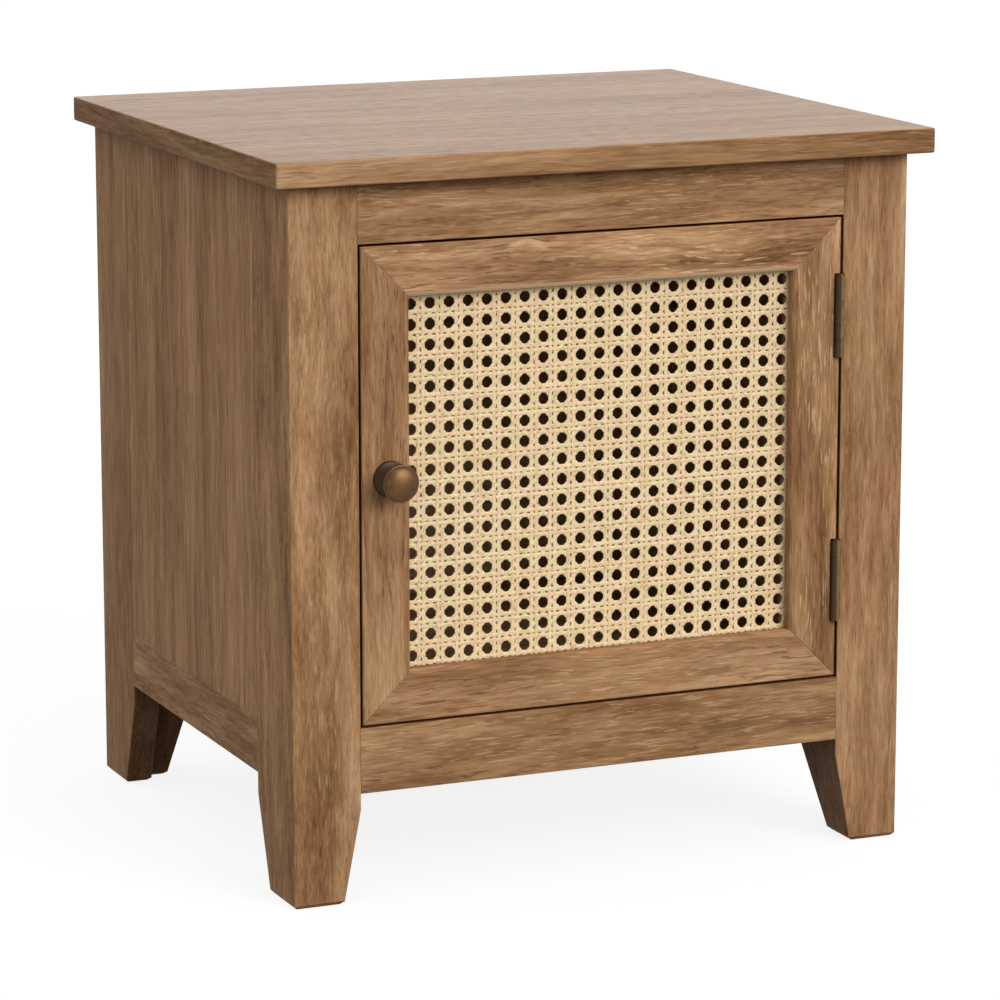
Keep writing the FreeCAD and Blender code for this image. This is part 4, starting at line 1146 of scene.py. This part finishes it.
    def build(self) -> list[Piece]:
        """Weave the three layers of strips, and hide the panel's solid.

        Returns:
            The pieces.
        """
        flat = (self.strip_width, self.strip_thickness)
        slants = [up + down for up, down in zip(self.slanting(True), self.slanting(False))]
        pieces = [
            self.strips("cane_uprights", *self.straight(True), *flat),
            self.strips("cane_crosswise", *self.straight(False), *flat),
            self.strips("cane_slants", *slants, self.slant_width, self.slant_thickness),
        ]
        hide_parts("cane_panel")
        return pieces

    def dress(self, pieces: list[Piece]) -> None:
        """Give the strips their cane."""
        material = SplitCane().material("woven_cane")
        for piece in pieces:
            piece.data.materials.append(material)
            log.info("cane %s", piece.name)


@dataclass
class DoorKnob:
    """Turned knob with a flared base, a hollow neck and a domed head with a rolled rim."""

    middle: Pair = (-0.1741, 0.321)
    face: float = -0.210
    base_radius: float = 0.0133
    base_edge: float = 0.0006
    base_rim: float = 0.0014
    bead: float = 0.0008
    sweep_in: float = 0.0014
    sweep_out: float = 0.0024
    hollow: float = 2.2
    neck_radius: float = 0.0055
    neck_out: float = 0.0100
    head_radius: float = 0.0142
    head_out: float = 0.0204
    roll: float = 0.0009
    flare: float = 0.85
    dome: float = 0.6
    reach: float = 0.0270
    sides: int = 72
    turn_points: int = 14
    dome_points: int = 24

    def profile(self) -> np.ndarray:
        """Profile from the door's face to the middle of the dome.

        The base falls to the neck and the neck flares under the head by powers of the share of
        the way, called hollow and flare. The rim is rolled by just over half a circle, and the
        dome is nearly an ellipse.

        Returns:
            Radius and height of each point.
        """
        turn = np.linspace(0, 1, self.turn_points)
        quarter = np.pi / 2 * turn[1:]
        rolled = np.linspace(-np.pi / 2, 0.6 * np.pi, self.turn_points)[1:]
        fall = np.sin(np.linspace(np.pi / 2, 0, self.dome_points))[1:]
        neck, head = self.neck_radius, self.head_radius - self.roll
        top = self.head_out + self.roll * (1 + np.sin(rolled[-1]))
        edge = head + self.roll * np.cos(rolled[-1])
        parts = [
            (0.0, np.zeros(1)),
            (self.base_radius, np.array([0.0, self.base_edge, self.base_rim])),
            (
                self.base_radius - self.bead * (1 - np.cos(quarter)),
                self.base_rim + self.bead * np.sin(quarter),
            ),
            (
                neck + (self.base_radius - self.sweep_in - neck) * (1 - turn) ** self.hollow,
                self.sweep_out + (self.neck_out - self.sweep_out) * turn,
            ),
            (
                neck + (head - neck) * turn[1:] ** self.hollow,
                self.neck_out + (self.head_out - self.neck_out) * turn[1:] ** self.flare,
            ),
            (head + self.roll * np.cos(rolled), self.head_out + self.roll * (1 + np.sin(rolled))),
            (edge * fall, top + (self.reach - top) * (1 - fall**2) ** self.dome),
        ]
        return np.concatenate(
            [np.stack(np.broadcast_arrays(radius, height), axis=1) for radius, height in parts]
        )

    def build(self) -> Piece:
        """Turn the profile about an axis that points out of the door.

        The point of height h and radius r at angle a lies h in front of the door's face, r cos a
        to the right of the axis and r sin a above it.

        Returns:
            The piece.
        """
        angle = np.linspace(0, 2 * np.pi, self.sides, endpoint=False)
        radius, height = self.profile().T[:, :, None]
        x = self.middle[0] + radius * np.cos(angle)
        z = self.middle[1] + radius * np.sin(angle)
        points = np.stack(np.broadcast_arrays(x, self.face - height, z), axis=-1)
        mesh = smooth_mesh("knob_turning", points, grid_faces(*x.shape, True))
        form = bmesh.new()
        form.from_mesh(mesh)
        bmesh.ops.remove_doubles(form, verts=form.verts, dist=1e-6)
        bmesh.ops.dissolve_degenerate(form, edges=form.edges, dist=1e-7)
        bmesh.ops.recalc_face_normals(form, faces=form.faces)
        form.to_mesh(mesh)
        form.free()
        mesh.set_sharp_from_angle(angle=TURNED_SHARP_FROM)
        piece = finished("knob_turning", mesh, Body.DOOR)
        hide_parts("door_knob")
        return piece

    def dress(self, piece: Piece) -> None:
        """Give the knob its bronze."""
        piece.data.materials.append(KNOB_BRONZE.material("knob_bronze"))
        log.info("knob")


@dataclass
class Hinge:
    """A butt hinge: a leaf on the post, a leaf on the door, and the pin between them."""

    place: str
    ease: float = 0.0004
    eased_from: float = 0.004

    def build(self) -> list[Piece]:
        """Copy the leaves and the pin from their solids, with eased edges.

        Returns:
            The pieces.
        """
        return [
            from_solid(
                f"{self.place}_hinge_{part}", f"{self.place}_{name}", body, "dark_bronze",
                self.ease, self.eased_from,
            )
            for part, name, body in (
                ("frame_leaf", "post_leaf", Body.CARCASS),
                ("door_leaf", "door_leaf", Body.DOOR),
                ("pin", "loose_pin", Body.CARCASS),
            )
        ]

    def dress(self, pieces: list[Piece], bronze: Material) -> None:
        """Give the hinge its dark bronze."""
        for piece in pieces:
            piece.data.materials.append(bronze)
        log.info("%s hinge", self.place)


@dataclass
class Fittings:
    """Solids that keep their own shape: back panel, beads, dowels, pins, screws and catch."""

    back: str = "back_panel"
    beads: str = "cane_beads"
    dowels: tuple[str, ...] = ("rail_dowels", "mitre_dowels")
    steel: tuple[str, ...] = (
        "back_panel_screws", "top_screws", "catch_screws", "knob_screw",
        "door_hinge_screws", "frame_hinge_screws", "catch_plate", "catch_plate_screw",
    )
    catch: str = "magnetic_catch"

    def dress(self) -> None:
        """Assign each solid its finish."""
        steel = SCREW_STEEL.material("screw_steel")
        wood = DOWEL_WOOD.material("dowel_wood_finish", Grain.ACROSS, 61)
        finishes = {name: steel for name in self.steel} | {name: wood for name in self.dowels}
        finishes[self.back] = PLYWOOD.material("back_plywood", Grain.UPRIGHT, 71)
        finishes[self.beads] = INNER_WOOD.material("bead_wood", Grain.ACROSS, 83)
        finishes[self.catch] = PlainPlastic().material("catch_plastic")
        for name, material in finishes.items():
            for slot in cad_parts[name].material_slots:
                slot.material = material
            log.info("fitting %s", name)


# The studio.


@dataclass
class Studio:
    """Pale floor, soft light and the camera."""

    camera_place: Point = (-1.34614, -3.10633, 0.95296)
    camera_turn: float = 23.51
    camera_tilt: float = -11.72
    lens: float = 156.39
    sensor: float = 36.0
    sight: float = 60.0
    floor_half: float = 20.0
    floor_grey: float = 0.16
    floor_glow: float = 0.86
    ambient: float = 0.88
    key_strength: float = 1.93
    key_from: Point = (0.32, -0.83, 0.45)
    key_spread: float = 36.0

    def build(self) -> None:
        """Lay the floor, and set up the world, the lamp and the camera."""
        side = np.linspace(-self.floor_half, self.floor_half, 9)
        x, y = np.meshgrid(side, side)
        points = np.stack([x, y, np.zeros_like(x)], axis=-1)
        mesh = smooth_mesh("studio_floor", points, grid_faces(*x.shape))
        placed("studio_floor", mesh)
        mesh.materials.append(self.floor_paint())
        self.sky()
        self.lamp()
        self.camera()
        log.info("studio")

    def floor_paint(self) -> Material:
        """Pale paint that shows white to the camera but keeps the object's shadow.

        Returns:
            The material.
        """
        graph = Graph("floor_paint")
        path = graph.node("LightPath").outputs
        seen = graph.join(path["Is Camera Ray"], path["Is Glossy Ray"], "MAXIMUM")
        pale = graph.blend(graph.cloud(40, 0), (0.07,) * 3, (0.09,) * 3)
        plain = graph.add("BsdfDiffuse", {"Color": pale})
        shaded = graph.add("BsdfDiffuse", {"Color": (*(self.floor_grey,) * 3, 1)})
        glow = graph.add("Emission", {"Color": (*WHITE, 1), "Strength": self.floor_glow})
        both = graph.add("AddShader", {0: shaded, 1: glow})
        paint = graph.add("MixShader", {0: seen, 1: plain, 2: both})
        graph.node("OutputMaterial", {"Surface": paint})
        return graph.holder

    def sky(self) -> None:
        """White world: plain ambient light, and full white where a ray sees it."""
        graph = Graph("studio_world", "worlds")
        path = graph.node("LightPath").outputs
        seen = graph.join(path["Is Camera Ray"], path["Is Glossy Ray"], "MAXIMUM")
        seen = graph.join(seen, path["Is Transmission Ray"], "MAXIMUM")
        level = graph.add("MapRange", {"Value": seen, "To Min": self.ambient, "To Max": 1.0})
        light = graph.add("Background", {"Color": (*WHITE, 1), "Strength": level})
        graph.node("OutputWorld", {"Surface": light})
        bpy.context.scene.world = graph.holder

    def lamp(self) -> None:
        """One soft lamp from the front right, above the table."""
        data = bpy.data.lights.new("key_light", "SUN")
        data.energy = self.key_strength
        data.angle = math.radians(self.key_spread)
        turn = Vector(self.key_from).to_track_quat("Z", "Y").to_euler()
        placed("key_light", data).rotation_euler = turn

    def camera(self) -> None:
        """The camera, left of the middle and a little above the top."""
        data = bpy.data.cameras.new("view")
        data.lens = self.lens
        data.sensor_width = self.sensor
        data.clip_end = self.sight
        camera = placed("view", data)
        camera.location = self.camera_place
        camera.rotation_euler = (
            math.radians(90 + self.camera_tilt), 0.0, -math.radians(self.camera_turn)
        )
        bpy.context.scene.camera = camera
        bpy.context.scene.view_settings.view_transform = "Standard"


def main() -> None:
    """Build and dress the table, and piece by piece."""
    logging.basicConfig(level=logging.INFO, format="%(name)s: %(message)s")
    for work in (Top(), Posts(), Rails(), Sides(), Inside(), DoorFrame()):
        work.build()
        work.dress()
    weave = CaneWeave()
    weave.dress(weave.build())
    knob = DoorKnob()
    knob.dress(knob.build())
    bronze = HINGE_BRONZE.material("hinge_bronze")
    for place in ("upper", "lower"):
        hinge = Hinge(place)
        hinge.dress(hinge.build(), bronze)
    Fittings().dress()
    Studio().build()


if __name__ == "__main__":
    main()
